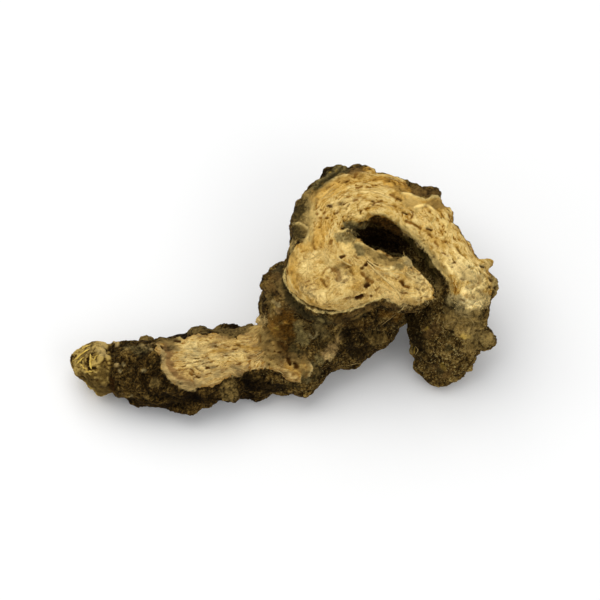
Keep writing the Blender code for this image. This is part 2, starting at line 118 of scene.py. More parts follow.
# Coloured marks: colour, half width, strength, lift, and places across and up the view.
MARKS = [
    # The arch: its edges, stains and streaks
    ("umber", 1.4, 0.85, 0.1, [(9.8, 26.2), (12.0, 25.8)]),
    ("umber", 0.9, 0.6, 0, [(10.4, 25.0), (12.0, 24.8)]),
    ("pale", 0.6, 0.7, 0.15, [(13.6, 27.0), (14.2, 26.0)]),
    ("black", 1.2, 0.85, 0, [(4.4, 25.4), (6.4, 26.0)]),
    ("grey olive", 1.4, 0.9, 0, [(2.4, 21.6), (4.4, 23.2), (6.8, 25.0), (8.4, 26.0)]),
    # Painted shadow: a thin dark line along the step between the arch's bark and its cut face, also sunk a
    # little.
    ("dark olive", 0.32, 0.9, -0.3, [(2.2, 21.4), (4.4, 23.4), (6.6, 24.8), (8.4, 26.2)]),
    ("olive tan", 1.8, 0.9, 0, [(1.8, 20.8), (0.8, 18.4), (0.4, 15.6), (0.6, 13.2)]),
    ("tan edge", 1.2, 0.8, 0, [(2.4, 20.0), (2.0, 17.6), (1.8, 14.8), (1.4, 12.0)]),
    ("dark olive", 1.1, 0.8, -0.1, [(0.0, 18.6), (-0.4, 16.6)]),
    ("dark olive", 1.3, 0.8, -0.1, [(-1.0, 13.8), (0.0, 13.6)]),
    ("tan edge", 1.6, 0.85, 0, [(-1.4, 11.4), (-1.8, 9.6), (-2.0, 8.0)]),
    ("orange", 0.7, 0.7, 0.1, [(13.0, 26.2), (14.4, 25.4)]),
    ("tan edge", 1.0, 0.5, 0, [(37.2, 7.8), (38.2, 7.2)]),
    ("orange", 0.9, 0.75, 0.1, [(15.4, 24.0), (18.0, 23.4), (20.0, 22.4), (21.6, 21.6)]),
    ("umber", 1.2, 0.8, 0, [(23.0, 21.4), (25.6, 21.6), (28.2, 20.8)]),
    ("orange", 1.8, 0.4, 0, [(3.6, 20.4), (6.0, 22.0), (8.4, 22.8)]),
    ("orange", 1.4, 0.5, 0, [(4.4, 14.4), (3.8, 11.6)]),
    ("ochre", 1.2, 0.5, 0, [(24.8, 19.4), (27.2, 19.2), (29.0, 18.4)]),
    ("ochre", 1.0, 0.4, 0, [(8.0, 23.6), (10.4, 24.0), (12.4, 24.4)]),
    ("ochre", 0.8, 0.35, 0, [(18.0, 18.6), (21.0, 18.2), (23.0, 18.8)]),
    ("ochre", 0.8, 0.4, 0, [(24.6, 14.6), (26.6, 12.8), (28.2, 10.8)]),
    ("pale", 1.4, 0.35, 0.12, [(24.0, 17.0), (26.0, 15.8)]),
    ("ochre", 1.4, 0.5, 0, [(19.8, 21.8), (22.6, 19.6), (25.4, 19.2), (28.0, 18.8)]),
    ("pale", 1.2, 0.15, 0.1, [(13.4, 21.6), (15.2, 20.8)]),
    ("pale", 1.0, 0.7, 0.1, [(37.4, 7.0)]),
    # The arch's limb and the smooth rim over the hollow
    ("cream white", 2.2, 0.48, 0, [(30.6, 7.4), (31.6, 5.8), (32.6, 4.2), (33.4, 3.0)]),
    ("smooth cream", 0.6, 0.7, 0.05, [(26.8, 8.2), (28.0, 6.6), (29.2, 5.0)]),
    ("pale", 1.4, 0.5, 0, [(34.0, 7.6), (36.0, 6.8)]),
    ("cream white", 2.4, 0.72, 0, [(32.4, 6.6), (34.0, 5.4), (35.2, 3.6), (34.8, 1.0)]),
    ("pale", 1.4, 0.5, 0, [(36.8, 5.0), (37.2, 2.6), (36.8, 0.4)]),
    ("ochre", 0.8, 0.35, 0, [(31.2, 6.8), (32.4, 5.6), (33.6, 4.4)]),
    ("orange", 0.8, 0.7, 0, [(33.2, 0.6)]),
    ("flap", 0.8, 0.5, 0, [(20.8, 14.0), (23.2, 12.0), (25.6, 9.6), (27.4, 7.2), (28.6, 5.0)]),
    ("smooth cream", 0.8, 0.6, 0.05, [(19.8, 15.4), (22.2, 13.4), (24.6, 11.4), (26.8, 9.0),
     (28.6, 6.6), (30.0, 4.0), (30.6, 1.8)]),
    ("tan edge", 1.2, 0.8, 0, [(35.6, 0.8), (37.2, 0.0)]),
    ("flap", 1.2, 0.9, 0.1, [(30.6, 0.2), (32.4, -0.6), (34.4, -1.2), (36.2, -0.8)]),
    ("cream white", 0.6, 0.6, 0.1, [(32.8, 0.0), (34.6, -0.6), (36.2, -0.4)]),
    ("grey olive", 0.8, 0.7, 0, [(29.2, 0.0), (31.2, -1.6), (33.2, -2.2)]),
    ("tan edge", 0.8, 0.7, 0, [(38.2, 5.2), (38.8, 3.4), (39.0, 1.6), (38.0, -0.6)]),
    # The lobe: its rings, its lower lip and the flaps beside the hollow
    ("orange", 0.9, 0.6, 0, [(-1.8, 6.0), (-1.2, 4.0), (0.0, 2.2)]),
    ("ochre", 0.9, 0.5, 0, [(1.6, 0.6), (4.0, -0.8)]),
    ("ochre", 1.0, 0.45, -0.1, [(0.4, 10.2), (2.8, 10.8)]),
    ("smooth cream", 1.2, 0.5, 0.1, [(9.2, 10.8), (10.4, 10.6)]),
    # Painted shadow under the lobe's lower lip, with a darker line along the lip.
    ("shade olive", 1.1, 0.9, 0, [(-4.2, 6.4), (-4.0, 3.6), (-2.4, 0.4), (0.2, -2.2), (3.2, -3.8),
     (6.4, -4.2), (10.0, -3.8), (12.4, -2.8)]),
    ("dark olive", 0.4, 0.6, -0.1, [(0.2, -1.8), (2.4, -3.0), (5.6, -3.4), (8.8, -3.2)]),
    ("grey olive", 1.2, 0.75, 0.1, [(8.2, 12.4), (10.2, 12.6)]),
    ("olive tan", 1.0, 0.6, 0, [(11.2, 10.4), (13.2, 9.2)]),
    ("olive tan", 1.2, 0.8, 0, [(13.2, 9.8), (15.2, 8.8), (17.6, 7.6), (19.8, 7.2)]),
    ("grey olive", 0.8, 0.8, 0, [(11.4, 10.4), (12.2, 9.2)]),
    ("grey olive", 0.6, 0.7, 0, [(19.2, 6.8), (20.4, 6.8)]),
    ("olive", 0.8, 0.85, -0.3, [(16.6, 8.8), (18.2, 8.0), (19.8, 8.4)]),
    ("brown", 0.28, 0.9, -0.3, [(17.2, 9.0), (18.6, 8.6), (20.2, 8.4)]),
    ("edge", 0.18, 0.8, 0.2, [(14.4, 10.8), (16.8, 10.0), (18.8, 9.2), (20.6, 8.8)]),
    ("flap", 1.0, 0.85, 0.2, [(21.4, 8.2), (21.8, 7.2)]),
    ("olive tan", 1.0, 0.55, 0, [(22.8, 6.6), (24.8, 5.2), (26.4, 3.6)]),
    ("olive tan", 0.8, 0.35, 0, [(21.8, 5.4), (23.4, 4.2)]),
    ("pale", 0.8, 0.6, 0.1, [(17.6, 0.6), (19.4, -0.2), (21.0, -1.0)]),
    ("cream white", 1.4, 0.35, 0, [(22.8, 4.8), (24.8, 2.8), (24.8, 0.8)]),
    ("cream white", 1.2, 0.3, 0, [(0.8, 6.0), (2.4, 6.8)]),
    ("ochre", 1.2, 0.55, 0, [(-1.8, 8.6), (-1.2, 6.4)]),
    ("pale", 1.2, 0.55, 0.05, [(0.6, 2.8), (2.4, 1.6)]),
    ("pale", 1.4, 0.35, 0, [(17.0, 2.0), (19.6, 1.6)]),
    ("pale", 1.0, 0.4, 0.05, [(0.8, 7.6), (2.4, 8.4), (4.4, 8.8)]),
    ("olive tan", 1.0, 0.3, 0, [(5.6, 7.6), (6.8, 6.8)]),
    ("pale", 0.8, 0.5, 0.05, [(8.6, 4.4), (8.2, 3.0)]),
    ("pale", 1.0, 0.45, 0.05, [(2.4, 0.8), (4.8, 0.4)]),
    ("ochre", 0.5, 0.5, -0.1, [(-0.4, 5.2), (0.4, 3.6), (1.6, 2.6)]),
    ("ochre", 0.4, 0.5, -0.1, [(8.8, 7.6), (10.0, 6.4), (10.4, 5.2)]),
    ("ochre", 0.4, 0.5, -0.1, [(2.8, 6.4), (3.2, 7.6), (4.4, 7.6)]),
    ("ochre", 0.4, 0.45, -0.1, [(9.2, 2.4), (10.8, 2.4), (12.0, 2.0)]),
    ("pale", 0.4, 0.6, 0.12, [(14.8, 5.6), (16.8, 4.4), (18.4, 3.2)]),
    ("cream white", 0.24, 0.8, 0.2, [(15.8, 6.4), (17.2, 6.0), (18.6, 6.4)]),
    ("cream white", 0.24, 0.7, 0.2, [(16.8, 5.4), (18.2, 5.0), (19.6, 4.8)]),
    ("ochre", 0.4, 0.5, -0.15, [(15.6, 4.8), (17.2, 3.4), (18.2, 2.0)]),
    ("ochre", 0.4, 0.5, -0.15, [(18.8, 5.2), (20.4, 4.8), (22.0, 4.0)]),
    ("pale", 1.2, 0.35, 0, [(8.0, 3.0), (10.0, 4.0)]),
    ("ochre", 0.8, 0.35, 0, [(3.6, 4.8), (4.6, 3.0)]),
    ("ochre", 1.0, 0.35, 0, [(10.4, 6.4), (12.0, 4.8), (11.2, 3.2)]),
    ("olive tan", 0.8, 0.4, 0, [(8.0, 6.8), (9.2, 5.6)]),
    # The hollow's walls
    ("deep rust", 1.2, 0.8, 0, [(15.4, 15.8), (17.6, 15.0), (19.4, 13.8)]),
    ("grey olive", 1.0, 0.95, 0, [(9.2, 14.8), (10.8, 14.8), (12.6, 14.8)]),
    ("moss", 1.6, 0.75, 0, [(21.8, 12.0), (24.2, 9.6), (26.2, 6.8), (27.4, 4.0)]),
    # The body: shoulder, rusty dent, grey ridge and dark front
    ("umber", 1.6, 0.6, 0, [(-4.8, 4.0), (-4.0, 1.6)]),
    ("dark olive", 0.8, 0.7, 0, [(-3.2, 2.8), (-1.8, 0.6), (0.4, -1.6)]),
    ("olive tan", 1.6, 0.45, 0, [(-6.0, 0.0), (-5.2, -2.4)]),
    ("brown tan", 1.4, 0.85, 0, [(-6.0, -4.8), (-4.6, -7.2), (-3.6, -9.4)]),
    ("umber", 1.6, 0.4, 0, [(-6.4, 1.6), (-4.8, -0.8), (-2.4, -2.0)]),
    ("rust", 1.8, 0.7, 0, [(-5.0, -3.8), (-3.4, -3.2), (-2.2, -4.4)]),
    ("rust", 1.8, 0.7, 0, [(-5.6, -6.2), (-3.8, -6.0), (-2.8, -6.8)]),
    ("deep rust", 0.4, 0.6, -0.1, [(-4.0, -4.8), (-3.4, -5.6)]),
    ("gold", 0.24, 0.45, 0.08, [(-5.0, -5.2), (-4.4, -5.8)]),
    ("ochre", 0.28, 0.5, 0.05, [(-3.0, -4.2), (-2.4, -4.8)]),
    ("dark olive", 0.8, 0.5, 0, [(-1.8, -8.0), (-1.0, -9.2)]),
    ("ochre", 0.7, 0.4, 0, [(-6.4, -5.2), (-5.6, -6.8), (-5.2, -8.4)]),
    ("deep rust", 1.1, 0.85, -0.2, [(-4.2, -8.8), (-3.0, -9.4)]),
    ("grey", 1.2, 0.85, 0.2, [(-0.2, -5.0), (0.2, -6.6), (0.6, -8.0)]),
    ("dark olive", 1.2, 0.8, -0.1, [(-1.4, -10.0), (0.2, -10.8)]),
    ("olive", 2.0, 0.45, 0, [(3.2, -5.6), (5.4, -7.6), (4.4, -9.4)]),
    ("grey olive", 1.2, 0.5, 0, [(3.2, -5.2), (5.0, -6.6)]),
    ("pink", 1.1, 0.95, 0.15, [(5.6, -10.8), (6.8, -9.8)]),
    ("beige", 0.24, 0.75, 0.15, [(5.2, -11.6), (6.2, -11.0)]),
    ("beige", 0.2, 0.7, 0.15, [(6.0, -12.2), (6.8, -11.0)]),
    ("flap", 0.18, 0.8, 0.15, [(2.0, -7.0), (2.6, -7.7), (3.2, -7.2), (3.4, -6.4)]),
    ("grey", 0.44, 0.8, 0.15, [(4.0, -3.8), (4.6, -4.2)]),
    ("beige", 0.26, 0.5, 0.12, [(3.5, -11.8), (4.2, -12.4)]),
    ("grey olive", 0.4, 0.6, 0.1, [(3.2, -11.2), (4.4, -12.0)]),
    ("pink", 0.5, 0.6, 0.1, [(7.2, -9.2), (8.0, -7.2)]),
    ("grey", 0.8, 0.75, 0.3, [(3.8, -12.2)]),
    ("rust", 1.8, 0.25, 0, [(8.0, -3.6), (10.4, -4.4), (12.0, -5.2)]),
    ("umber", 1.0, 0.5, 0, [(12.4, -1.2), (14.4, -1.0)]),
    ("rust", 1.4, 0.5, 0, [(17.6, -2.4), (19.6, -3.0)]),
    ("olive", 1.6, 0.6, 0.3, [(13.8, -7.0), (15.6, -7.8)]),
    ("black", 1.8, 0.35, 0, [(9.2, -5.4), (12.0, -5.0), (16.8, -4.8)]),
    ("black", 0.6, 0.65, -0.2, [(11.8, -6.2), (12.6, -8.4), (14.2, -9.8), (16.2, -10.0)]),
    ("olive tan", 0.2, 0.6, 0.15, [(13.2, -7.2), (14.6, -8.6), (16.2, -8.5), (17.0, -7.0), (16.6, -6.0)]),
    ("umber", 0.6, 0.55, 0, [(9.2, -3.4), (11.2, -2.4), (13.2, -1.2)]),
    ("brown tan", 0.24, 0.6, 0.1, [(10.4, -4.0), (12.8, -2.4), (15.6, -1.0)]),
    ("brown tan", 0.24, 0.55, 0.1, [(18.0, -2.2), (20.0, -2.0), (21.6, -1.4)]),
    ("black", 1.8, 0.8, -0.2, [(10.0, -9.4), (12.0, -11.2)]),
    ("black", 1.2, 0.7, -0.1, [(9.0, -6.6), (10.0, -8.0)]),
    # The arm's cut face and its rim
    ("cortex", 1.2, 0.9, 0.1, [(-25.6, -7.0), (-23.6, -6.4), (-21.0, -6.0), (-18.0, -6.0),
     (-14.8, -6.4), (-12.0, -6.2), (-10.0, -5.2)]),
    ("cortex", 1.2, 0.7, 0, [(-27.8, -8.2), (-25.6, -8.2)]),
    ("cortex pink", 0.9, 0.95, -0.15, [(-26.6, -9.6), (-26.4, -12.4), (-25.2, -14.6), (-23.4, -16.2),
     (-21.6, -16.8)]),
    ("cortex pink", 0.8, 0.35, 0, [(-25.8, -10.0), (-24.8, -10.4)]),
    ("beige", 0.56, 0.9, 0.2, [(-28.4, -9.2), (-27.4, -10.8), (-27.4, -12.8), (-26.6, -14.6),
     (-25.0, -16.2), (-23.0, -17.4), (-21.2, -17.8)]),
    ("cortex pink", 0.48, 0.5, -0.1, [(-20.4, -15.4), (-17.6, -14.6), (-14.8, -14.0), (-12.0, -13.4)]),
    ("pale", 0.8, 0.5, 0.05, [(-20.4, -16.4), (-18.0, -15.4), (-15.6, -14.6), (-13.2, -14.0)]),
    ("cream white", 2.0, 0.5, 0, [(-22.4, -10.0), (-21.6, -11.6), (-20.0, -12.8)]),
    ("cream white", 1.0, 0.4, 0, [(-17.6, -11.6), (-14.4, -11.2), (-11.6, -10.8)]),
    ("beige", 0.3, 0.7, 0.15, [(-20.6, -17.2), (-18.4, -16.0), (-16.0, -15.0), (-13.4, -13.8),
     (-10.8, -13.4)]),
    ("ochre", 0.6, 0.5, 0, [(-19.6, -10.0), (-17.4, -10.4), (-15.2, -10.2)]),
    ("ochre", 0.48, 0.5, 0, [(-12.4, -9.0), (-10.0, -9.8), (-7.6, -9.6)]),
    # The arm's right end
    ("olive tan", 1.8, 0.75, 0, [(-7.6, -6.8), (-6.4, -9.6), (-5.4, -12.0)]),
    ("brown tan", 0.8, 0.6, 0, [(-6.6, -6.0), (-5.4, -8.4), (-4.2, -10.4)]),
    ("olive tan", 1.2, 0.5, 0, [(-9.2, -6.0), (-7.8, -6.8)]),
    ("olive tan", 1.2, 0.55, 0, [(-1.0, -12.2), (0.6, -12.6)]),
    ("grey olive", 0.6, 0.85, -0.2, [(0.8, -15.4), (1.8, -16.2)]),
    ("ochre", 1.0, 0.45, -0.05, [(0.6, -12.4), (1.4, -13.8)]),
    ("olive", 0.4, 0.7, -0.2, [(0.6, -14.4), (0.8, -15.4)]),
    ("brown", 0.22, 0.75, -0.25, [(1.2, -13.4), (1.5, -14.0)]),
    ("brown", 0.18, 0.6, -0.2, [(0.4, -12.6), (0.8, -12.8)]),
    ("olive tan", 0.6, 0.6, 0, [(-0.2, -11.8), (1.2, -12.0)]),
    ("olive tan", 0.6, 0.7, 0, [(1.6, -12.4), (2.0, -13.8), (1.6, -15.0)]),
    ("pale", 0.2, 0.75, 0.12, [(2.0, -12.6), (2.4, -13.8), (1.8, -15.2)]),
    ("brown", 0.18, 0.7, -0.25, [(1.4, -14.6), (1.2, -15.2)]),
    ("dark olive", 0.26, 0.7, -0.3, [(0.4, -16.0), (1.2, -16.0)]),
    ("grey olive", 0.32, 0.7, -0.15, [(2.4, -12.2), (2.8, -13.0)]),
    ("dark olive", 0.8, 0.85, -0.1, [(3.6, -14.0), (3.0, -15.8)]),
    ("brown", 0.24, 0.8, -0.3, [(-0.2, -14.0), (0.2, -14.4)]),
    ("brown", 0.2, 0.7, -0.25, [(-1.4, -14.2), (-1.6, -14.8)]),
    ("brown", 0.2, 0.6, -0.2, [(-3.8, -12.4)]),
    ("brown", 0.2, 0.6, -0.2, [(0.6, -13.8)]),
    ("beige", 0.6, 0.5, 0.05, [(-2.0, -14.8), (-0.6, -15.8)]),
    ("umber", 1.0, 0.5, -0.05, [(-4.2, -11.4), (-3.2, -13.0)]),
    ("brown tan", 1.2, 0.55, 0, [(-6.4, -9.2), (-5.4, -10.4)]),
    ("umber", 0.8, 0.5, 0, [(-1.6, -11.4), (-0.6, -12.0)]),
    ("umber", 0.8, 0.4, 0, [(-4.0, -14.4), (-3.0, -14.8)]),
    ("ochre", 0.6, 0.45, -0.1, [(-2.6, -13.2), (-1.8, -14.0), (-0.4, -14.8)]),
    ("olive tan", 0.8, 0.5, 0, [(0.0, -13.2), (1.0, -14.4)]),
    ("brown", 0.18, 0.6, -0.2, [(-1.6, -15.2), (-0.8, -14.6), (-0.2, -15.4), (-0.8, -16.0)]),
    # Knobs, scars and dark patches of the arm's bark
    ("beige", 0.9, 0.85, 0.25, [(-8.0, -4.2), (-6.8, -4.0)]),
    ("olive tan", 1.4, 0.8, 0.3, [(-14.0, -17.2), (-13.8, -19.2)]),
    ("pink", 0.8, 0.7, 0.2, [(-12.2, -14.8)]),
    ("beige", 0.52, 0.8, 0.25, [(-36.8, -8.7), (-36.4, -9.0)]),
    ("beige", 0.4, 0.65, 0.2, [(-36.6, -13.0)]),
    ("flap", 0.34, 0.7, 0.15, [(-35.4, -12.9)]),
    ("flap", 0.34, 0.6, 0.15, [(-36.0, -14.2)]),
    ("flap", 0.48, 0.6, 0.2, [(-31.2, -14.2)]),
    ("olive tan", 0.8, 0.6, 0.2, [(-29.0, -16.4)]),
    ("flap", 0.4, 0.6, 0.2, [(-33.8, -19.0)]),
    ("olive tan", 1.0, 0.75, 0.1, [(-31.2, -8.2), (-29.8, -7.6), (-28.4, -7.6)]),
    ("beige", 0.34, 0.75, 0.1, [(-31.7, -9.2), (-30.6, -9.6), (-29.6, -10.0)]),
    ("pink", 0.4, 0.7, 0.1, [(-30.2, -9.0), (-28.6, -8.6)]),
    ("dark", 0.24, 0.9, -0.3, [(-30.8, -8.7)]),
    ("brown", 0.2, 0.85, -0.3, [(-28.6, -7.2), (-28.0, -7.6), (-27.2, -7.5)]),
    ("olive tan", 0.6, 0.5, 0.2, [(-30.8, -19.2)]),
    ("grey olive", 1.4, 0.45, 0, [(-34.4, -9.4), (-30.8, -10.0)]),
    ("black", 1.2, 0.6, 0, [(-26.4, -19.2), (-22.0, -20.0), (-18.0, -19.4)]),
    ("black", 1.8, 0.85, 0, [(-10.4, -16.2), (-7.6, -17.0), (-4.4, -17.2)]),
    # The bud
    ("bud brown", 2.0, 0.9, 0, [(-42.8, -15.6), (-41.2, -16.8), (-39.6, -18.4)]),
    ("bud tan", 1.4, 0.6, 0, [(-44.0, -11.6), (-42.8, -10.4), (-41.2, -9.6)]),
    ("bud pale", 0.8, 0.8, 0.2, [(-39.6, -8.8), (-39.4, -10.8)]),
    ("bud brown", 1.2, 0.8, 0, [(-39.4, -13.8), (-39.4, -15.8), (-39.2, -17.8)]),
    # The leg, and the dark side of the body behind it
    ("black", 1.8, 0.8, 0, [(22.6, -2.4), (22.8, -6.0), (23.4, -10.0)]),
    ("black", 1.2, 0.5, 0, [(25.6, -2.4), (25.8, -4.4)]),
    ("black", 1.8, 0.55, 0, [(24.8, -8.0), (25.2, -10.0), (25.6, -12.4)]),
    ("black", 1.2, 0.5, 0, [(17.4, -4.4), (18.8, -5.4)]),
    ("umber", 1.4, 0.6, 0, [(25.6, -6.2), (27.2, -5.6)]),
    ("olive tan", 2.0, 0.8, 0, [(30.4, -2.8), (32.8, -3.4), (35.6, -3.2)]),
    ("olive tan", 1.4, 0.5, 0, [(29.6, -5.2), (32.4, -5.6), (35.2, -4.8)]),
    ("olive tan", 1.4, 0.75, 0.1, [(36.0, -6.8), (37.8, -8.2)]),
    ("olive tan", 1.6, 0.7, 0.05, [(34.2, -6.6), (34.6, -9.4)]),
    ("dark olive", 1.0, 0.6, -0.2, [(29.8, -7.2)]),
    ("dark olive", 0.8, 0.6, -0.2, [(29.4, -9.8)]),
    ("gold", 0.44, 0.75, 0.12, [(32.8, -7.2), (34.2, -7.4)]),
    ("grey", 0.56, 0.8, 0.1, [(33.0, -8.6)]),
    ("gold", 0.24, 0.7, 0.1, [(23.0, -9.6), (23.2, -10.6)]),
    ("gold", 0.44, 0.75, 0.1, [(28.4, -13.0), (29.0, -13.8)]),
    ("dark olive", 0.44, 0.75, -0.15, [(27.6, -14.2), (28.6, -14.6)]),
    ("gold", 0.2, 0.6, 0.1, [(25.2, -5.8), (25.6, -5.4)]),
    ("olive tan", 0.24, 0.7, 0.1, [(27.2, -10.4), (28.8, -10.6)]),
    ("dark olive", 0.5, 0.7, -0.15, [(29.4, -9.4), (30.0, -9.8)]),
    ("olive tan", 0.2, 0.7, 0.1, [(30.8, -9.2), (32.4, -10.0), (34.0, -9.4)]),
    ("umber", 1.2, 0.5, 0, [(27.4, -13.6), (29.4, -14.8)]),
    ("dark olive", 0.8, 0.7, -0.1, [(28.0, -14.4)]),
    # Flakes on the arch's top and on the shoulder
    ("gold", 0.24, 0.8, 0.1, [(6.0, 25.6)]),
    ("gold", 0.18, 0.6, 0.05, [(7.2, 25.8)]),
    ("olive tan", 0.44, 0.8, 0.15, [(-5.6, -0.4)]),
    ("flap", 0.32, 0.75, 0.12, [(-5.2, -0.2), (-4.6, -0.8), (-4.2, -1.2)]),
    ("gold", 0.22, 0.6, 0.1, [(-5.6, -1.0), (-5.0, -1.6)]),
    ("olive tan", 0.4, 0.8, 0.12, [(-5.0, -2.6)]),
    ("flap", 0.2, 0.7, 0.1, [(-4.0, -0.6), (-3.8, -1.2)]),
    ("olive tan", 0.32, 0.7, 0.1, [(-5.8, -2.0), (-5.6, -3.2)]),
    ("pink", 0.44, 0.5, 0.1, [(-4.8, -1.8), (-4.2, -2.4)]),
    # Soft washes
    ("pale", 1.6, 0.65, 0, [(7.6, 18.6), (9.0, 19.4)]),
    ("pale", 1.0, 0.35, 0, [(12.4, 19.0), (14.0, 19.2)]),
    ("pale", 0.8, 0.4, 0, [(10.2, 17.4), (12.8, 18.0)]),
    ("smooth cream", 0.6, 0.45, 0, [(11.0, 16.0), (13.2, 16.8)]),
    ("pale", 1.0, 0.35, 0, [(27.2, 9.8), (28.2, 7.6)]),
    ("pale", 1.0, 0.35, 0, [(31.8, 10.0), (33.0, 9.2)]),
    ("pale", 1.4, 0.5, 0, [(32.6, 5.4), (34.8, 4.0)]),
    ("pale", 1.2, 0.45, 0, [(34.0, 0.8), (35.4, -0.4)]),
    ("pale", 1.0, 0.35, 0, [(8.0, 19.8), (9.2, 19.0)]),
    ("olive tan", 1.0, 0.35, 0, [(22.0, 5.2), (23.6, 4.2)]),
    ("brown tan", 1.2, 0.8, 0, [(26.4, 19.4), (28.2, 19.0)]),
    ("brown tan", 1.0, 0.4, 0, [(19.6, 22.0), (21.2, 21.2)]),
    ("tan edge", 1.2, 0.5, 0, [(22.0, 19.4), (23.6, 18.6)]),
    ("brown tan", 1.0, 0.35, 0, [(21.6, 19.6), (23.6, 19.0)]),
    ("brown tan", 1.0, 0.4, 0, [(19.8, 22.0), (21.0, 21.2)]),
    ("brown tan", 0.8, 0.5, -0.1, [(21.6, -0.6), (24.0, -0.6)]),
    ("umber", 0.8, 0.6, 0, [(16.8, -0.8), (19.4, -1.2)]),
    ("tan edge", 1.2, 0.45, 0.05, [(34.0, -6.8), (35.6, -7.6)]),
    ("tan edge", 1.0, 0.3, 0, [(37.2, -7.2), (37.4, -8.0)]),
    ("pale", 1.0, 0.6, 0, [(36.8, 0.6), (37.4, -0.6)]),
    ("olive tan", 1.0, 0.7, 0, [(27.6, 5.0), (28.0, 2.4)]),
    ("flap", 0.6, 0.4, 0.1, [(10.0, 14.4), (11.2, 14.0)]),
    ("olive tan", 1.0, 0.45, 0, [(0.8, -4.4), (1.8, -5.2)]),
    ("pale", 1.4, 0.35, 0, [(-19.2, -14.0), (-17.2, -13.8)]),
    ("beige", 0.8, 0.45, 0, [(-23.4, -16.6), (-22.0, -17.2)]),
    ("cream white", 1.6, 0.35, 0, [(-21.0, -9.0), (-19.2, -9.8)]),
    ("pale", 0.9, 0.4, 0, [(8.4, 5.2), (8.6, 4.2)]),
    ("brown tan", 1.0, 0.4, 0, [(13.0, 5.2), (13.4, 4.2)]),
    ("umber", 1.2, 0.35, 0, [(-8.6, -10.0), (-6.2, -9.6)]),
    ("deep rust", 1.0, 0.4, 0, [(-4.0, -9.4), (-3.4, -10.0)]),
    ("olive tan", 0.8, 0.4, 0, [(-4.0, 3.0), (-3.4, 1.8)]),
    # Painted shade in the groove of the bud.
    ("black", 1.0, 0.55, -0.1, [(-37.4, -15.8), (-37.2, -17.8)]),
    ("flap", 1.2, 0.3, 0, [(31.8, -2.2), (33.0, -2.6)]),
    ("black", 1.0, 0.45, 0, [(10.2, -4.8), (11.4, -5.2)]),
    ("dark olive", 1.0, 0.65, 0, [(-1.8, -16.8), (-0.8, -17.0)]),
    ("umber", 0.8, 0.35, 0, [(0.6, -11.6), (1.8, -12.4)]),
    ("olive tan", 0.8, 0.45, 0, [(3.2, -14.2), (4.0, -14.8)]),
    ("tan edge", 0.8, 0.4, 0, [(-25.8, -9.2), (-24.6, -9.8)]),
    ("olive tan", 1.2, 0.45, 0, [(-6.6, 0.4), (-5.6, -0.6)]),
    ("ochre", 0.3, 0.6, -0.1, [(34.0, 2.4), (35.2, 2.8)]),
    ("ochre", 0.28, 0.5, -0.1, [(35.6, 4.6), (36.0, 3.4)]),
    ("pale", 0.7, 0.4, 0, [(9.8, -0.2), (10.8, -0.6)]),
    ("brown tan", 1.0, 0.4, 0, [(7.8, 24.2), (9.2, 23.8)]),
    ("brown tan", 0.8, 0.4, 0, [(17.4, 7.4), (18.8, 7.0)]),
    ("brown tan", 0.8, 0.4, 0, [(1.0, 14.8), (1.4, 13.8)]),
    # Thin pale edges
    ("edge", 0.2, 0.7, 0.12, [(-2.2, 15.0), (-0.6, 15.2), (1.0, 14.8), (1.8, 13.8), (1.4, 12.4)]),
    ("edge", 0.22, 0.8, 0.2, [(23.0, 18.4), (25.2, 18.8), (26.8, 17.6), (26.8, 15.8), (25.0, 14.8)]),
    ("edge", 0.24, 0.8, 0.25, [(28.6, 16.2), (29.2, 14.6), (29.0, 12.8), (28.2, 12.4)]),
    ("edge", 0.28, 0.85, 0.3, [(20.6, 21.0), (22.2, 20.8), (23.8, 20.3), (25.4, 20.0), (26.8, 20.6),
     (28.8, 19.9), (29.7, 19.0), (29.8, 17.4)]),
    ("edge", 0.26, 0.8, 0.15, [(14.4, 17.4), (16.8, 17.2), (19.2, 15.8), (21.2, 14.2), (24.6, 11.0),
     (26.8, 7.8), (28.4, 5.4)]),
    ("edge", 0.28, 0.9, 0.2, [(-2.4, 6.8), (-3.0, 5.4), (-2.8, 3.4), (-1.2, 1.0), (0.6, -0.6),
     (2.4, -1.8), (5.6, -2.4), (9.2, -2.0), (12.0, -1.2), (14.4, -0.2), (16.8, 1.0)]),
    ("edge", 0.2, 0.7, 0.15, [(11.4, 11.4), (13.2, 10.6), (14.8, 9.6)]),
    ("edge", 0.2, 0.8, 0.15, [(7.6, 13.4), (9.2, 13.8), (10.8, 13.6), (11.2, 12.6)]),
    ("edge", 0.18, 0.7, 0.02, [(20.8, 7.6), (21.0, 8.6), (21.6, 8.8), (22.2, 8.0), (22.2, 7.0)]),
    ("edge", 0.24, 0.9, 0.2, [(33.2, -1.6), (35.0, -1.4)]),
    ("edge", 0.2, 0.8, 0.1, [(-24.6, -7.6), (-23.6, -7.8)]),
    # Thin lines over the bark
    ("olive tan", 0.2, 0.6, 0.1, [(-15.4, -16.6), (-15.8, -18.4), (-14.8, -20.0), (-13.4, -20.2),
     (-12.6, -18.4)]),
    ("olive tan", 0.24, 0.6, 0.1, [(-7.6, 2.0), (-7.8, 0.0), (-7.6, -2.4)]),
    ("olive tan", 0.16, 0.5, 0.08, [(4.0, -8.4), (6.0, -6.2), (8.4, -4.4)]),
    ("olive tan", 0.16, 0.6, 0.08, [(5.6, -8.8), (7.4, -7.0), (8.6, -5.2)]),
    ("olive tan", 0.16, 0.4, 0.08, [(3.6, -6.6), (5.6, -5.0)]),
    ("olive tan", 0.16, 0.5, 0.08, [(-5.4, 3.8), (-4.0, 2.4), (-3.0, 0.4)]),
    # Pits of the lobe
    ("brown", 0.46, 0.65, -0.35, [(6.6, 6.1), (7.5, 5.6), (7.9, 4.6), (7.6, 4.0)]),
    ("brown", 0.24, 0.75, -0.3, [(4.2, 4.2), (4.6, 3.6), (5.2, 2.8)]),
    ("brown", 0.18, 0.45, -0.15, [(4.6, 5.4), (5.0, 6.0), (5.8, 6.4)]),
    ("brown", 0.18, 0.4, -0.15, [(5.2, 4.8), (5.8, 4.2)]),
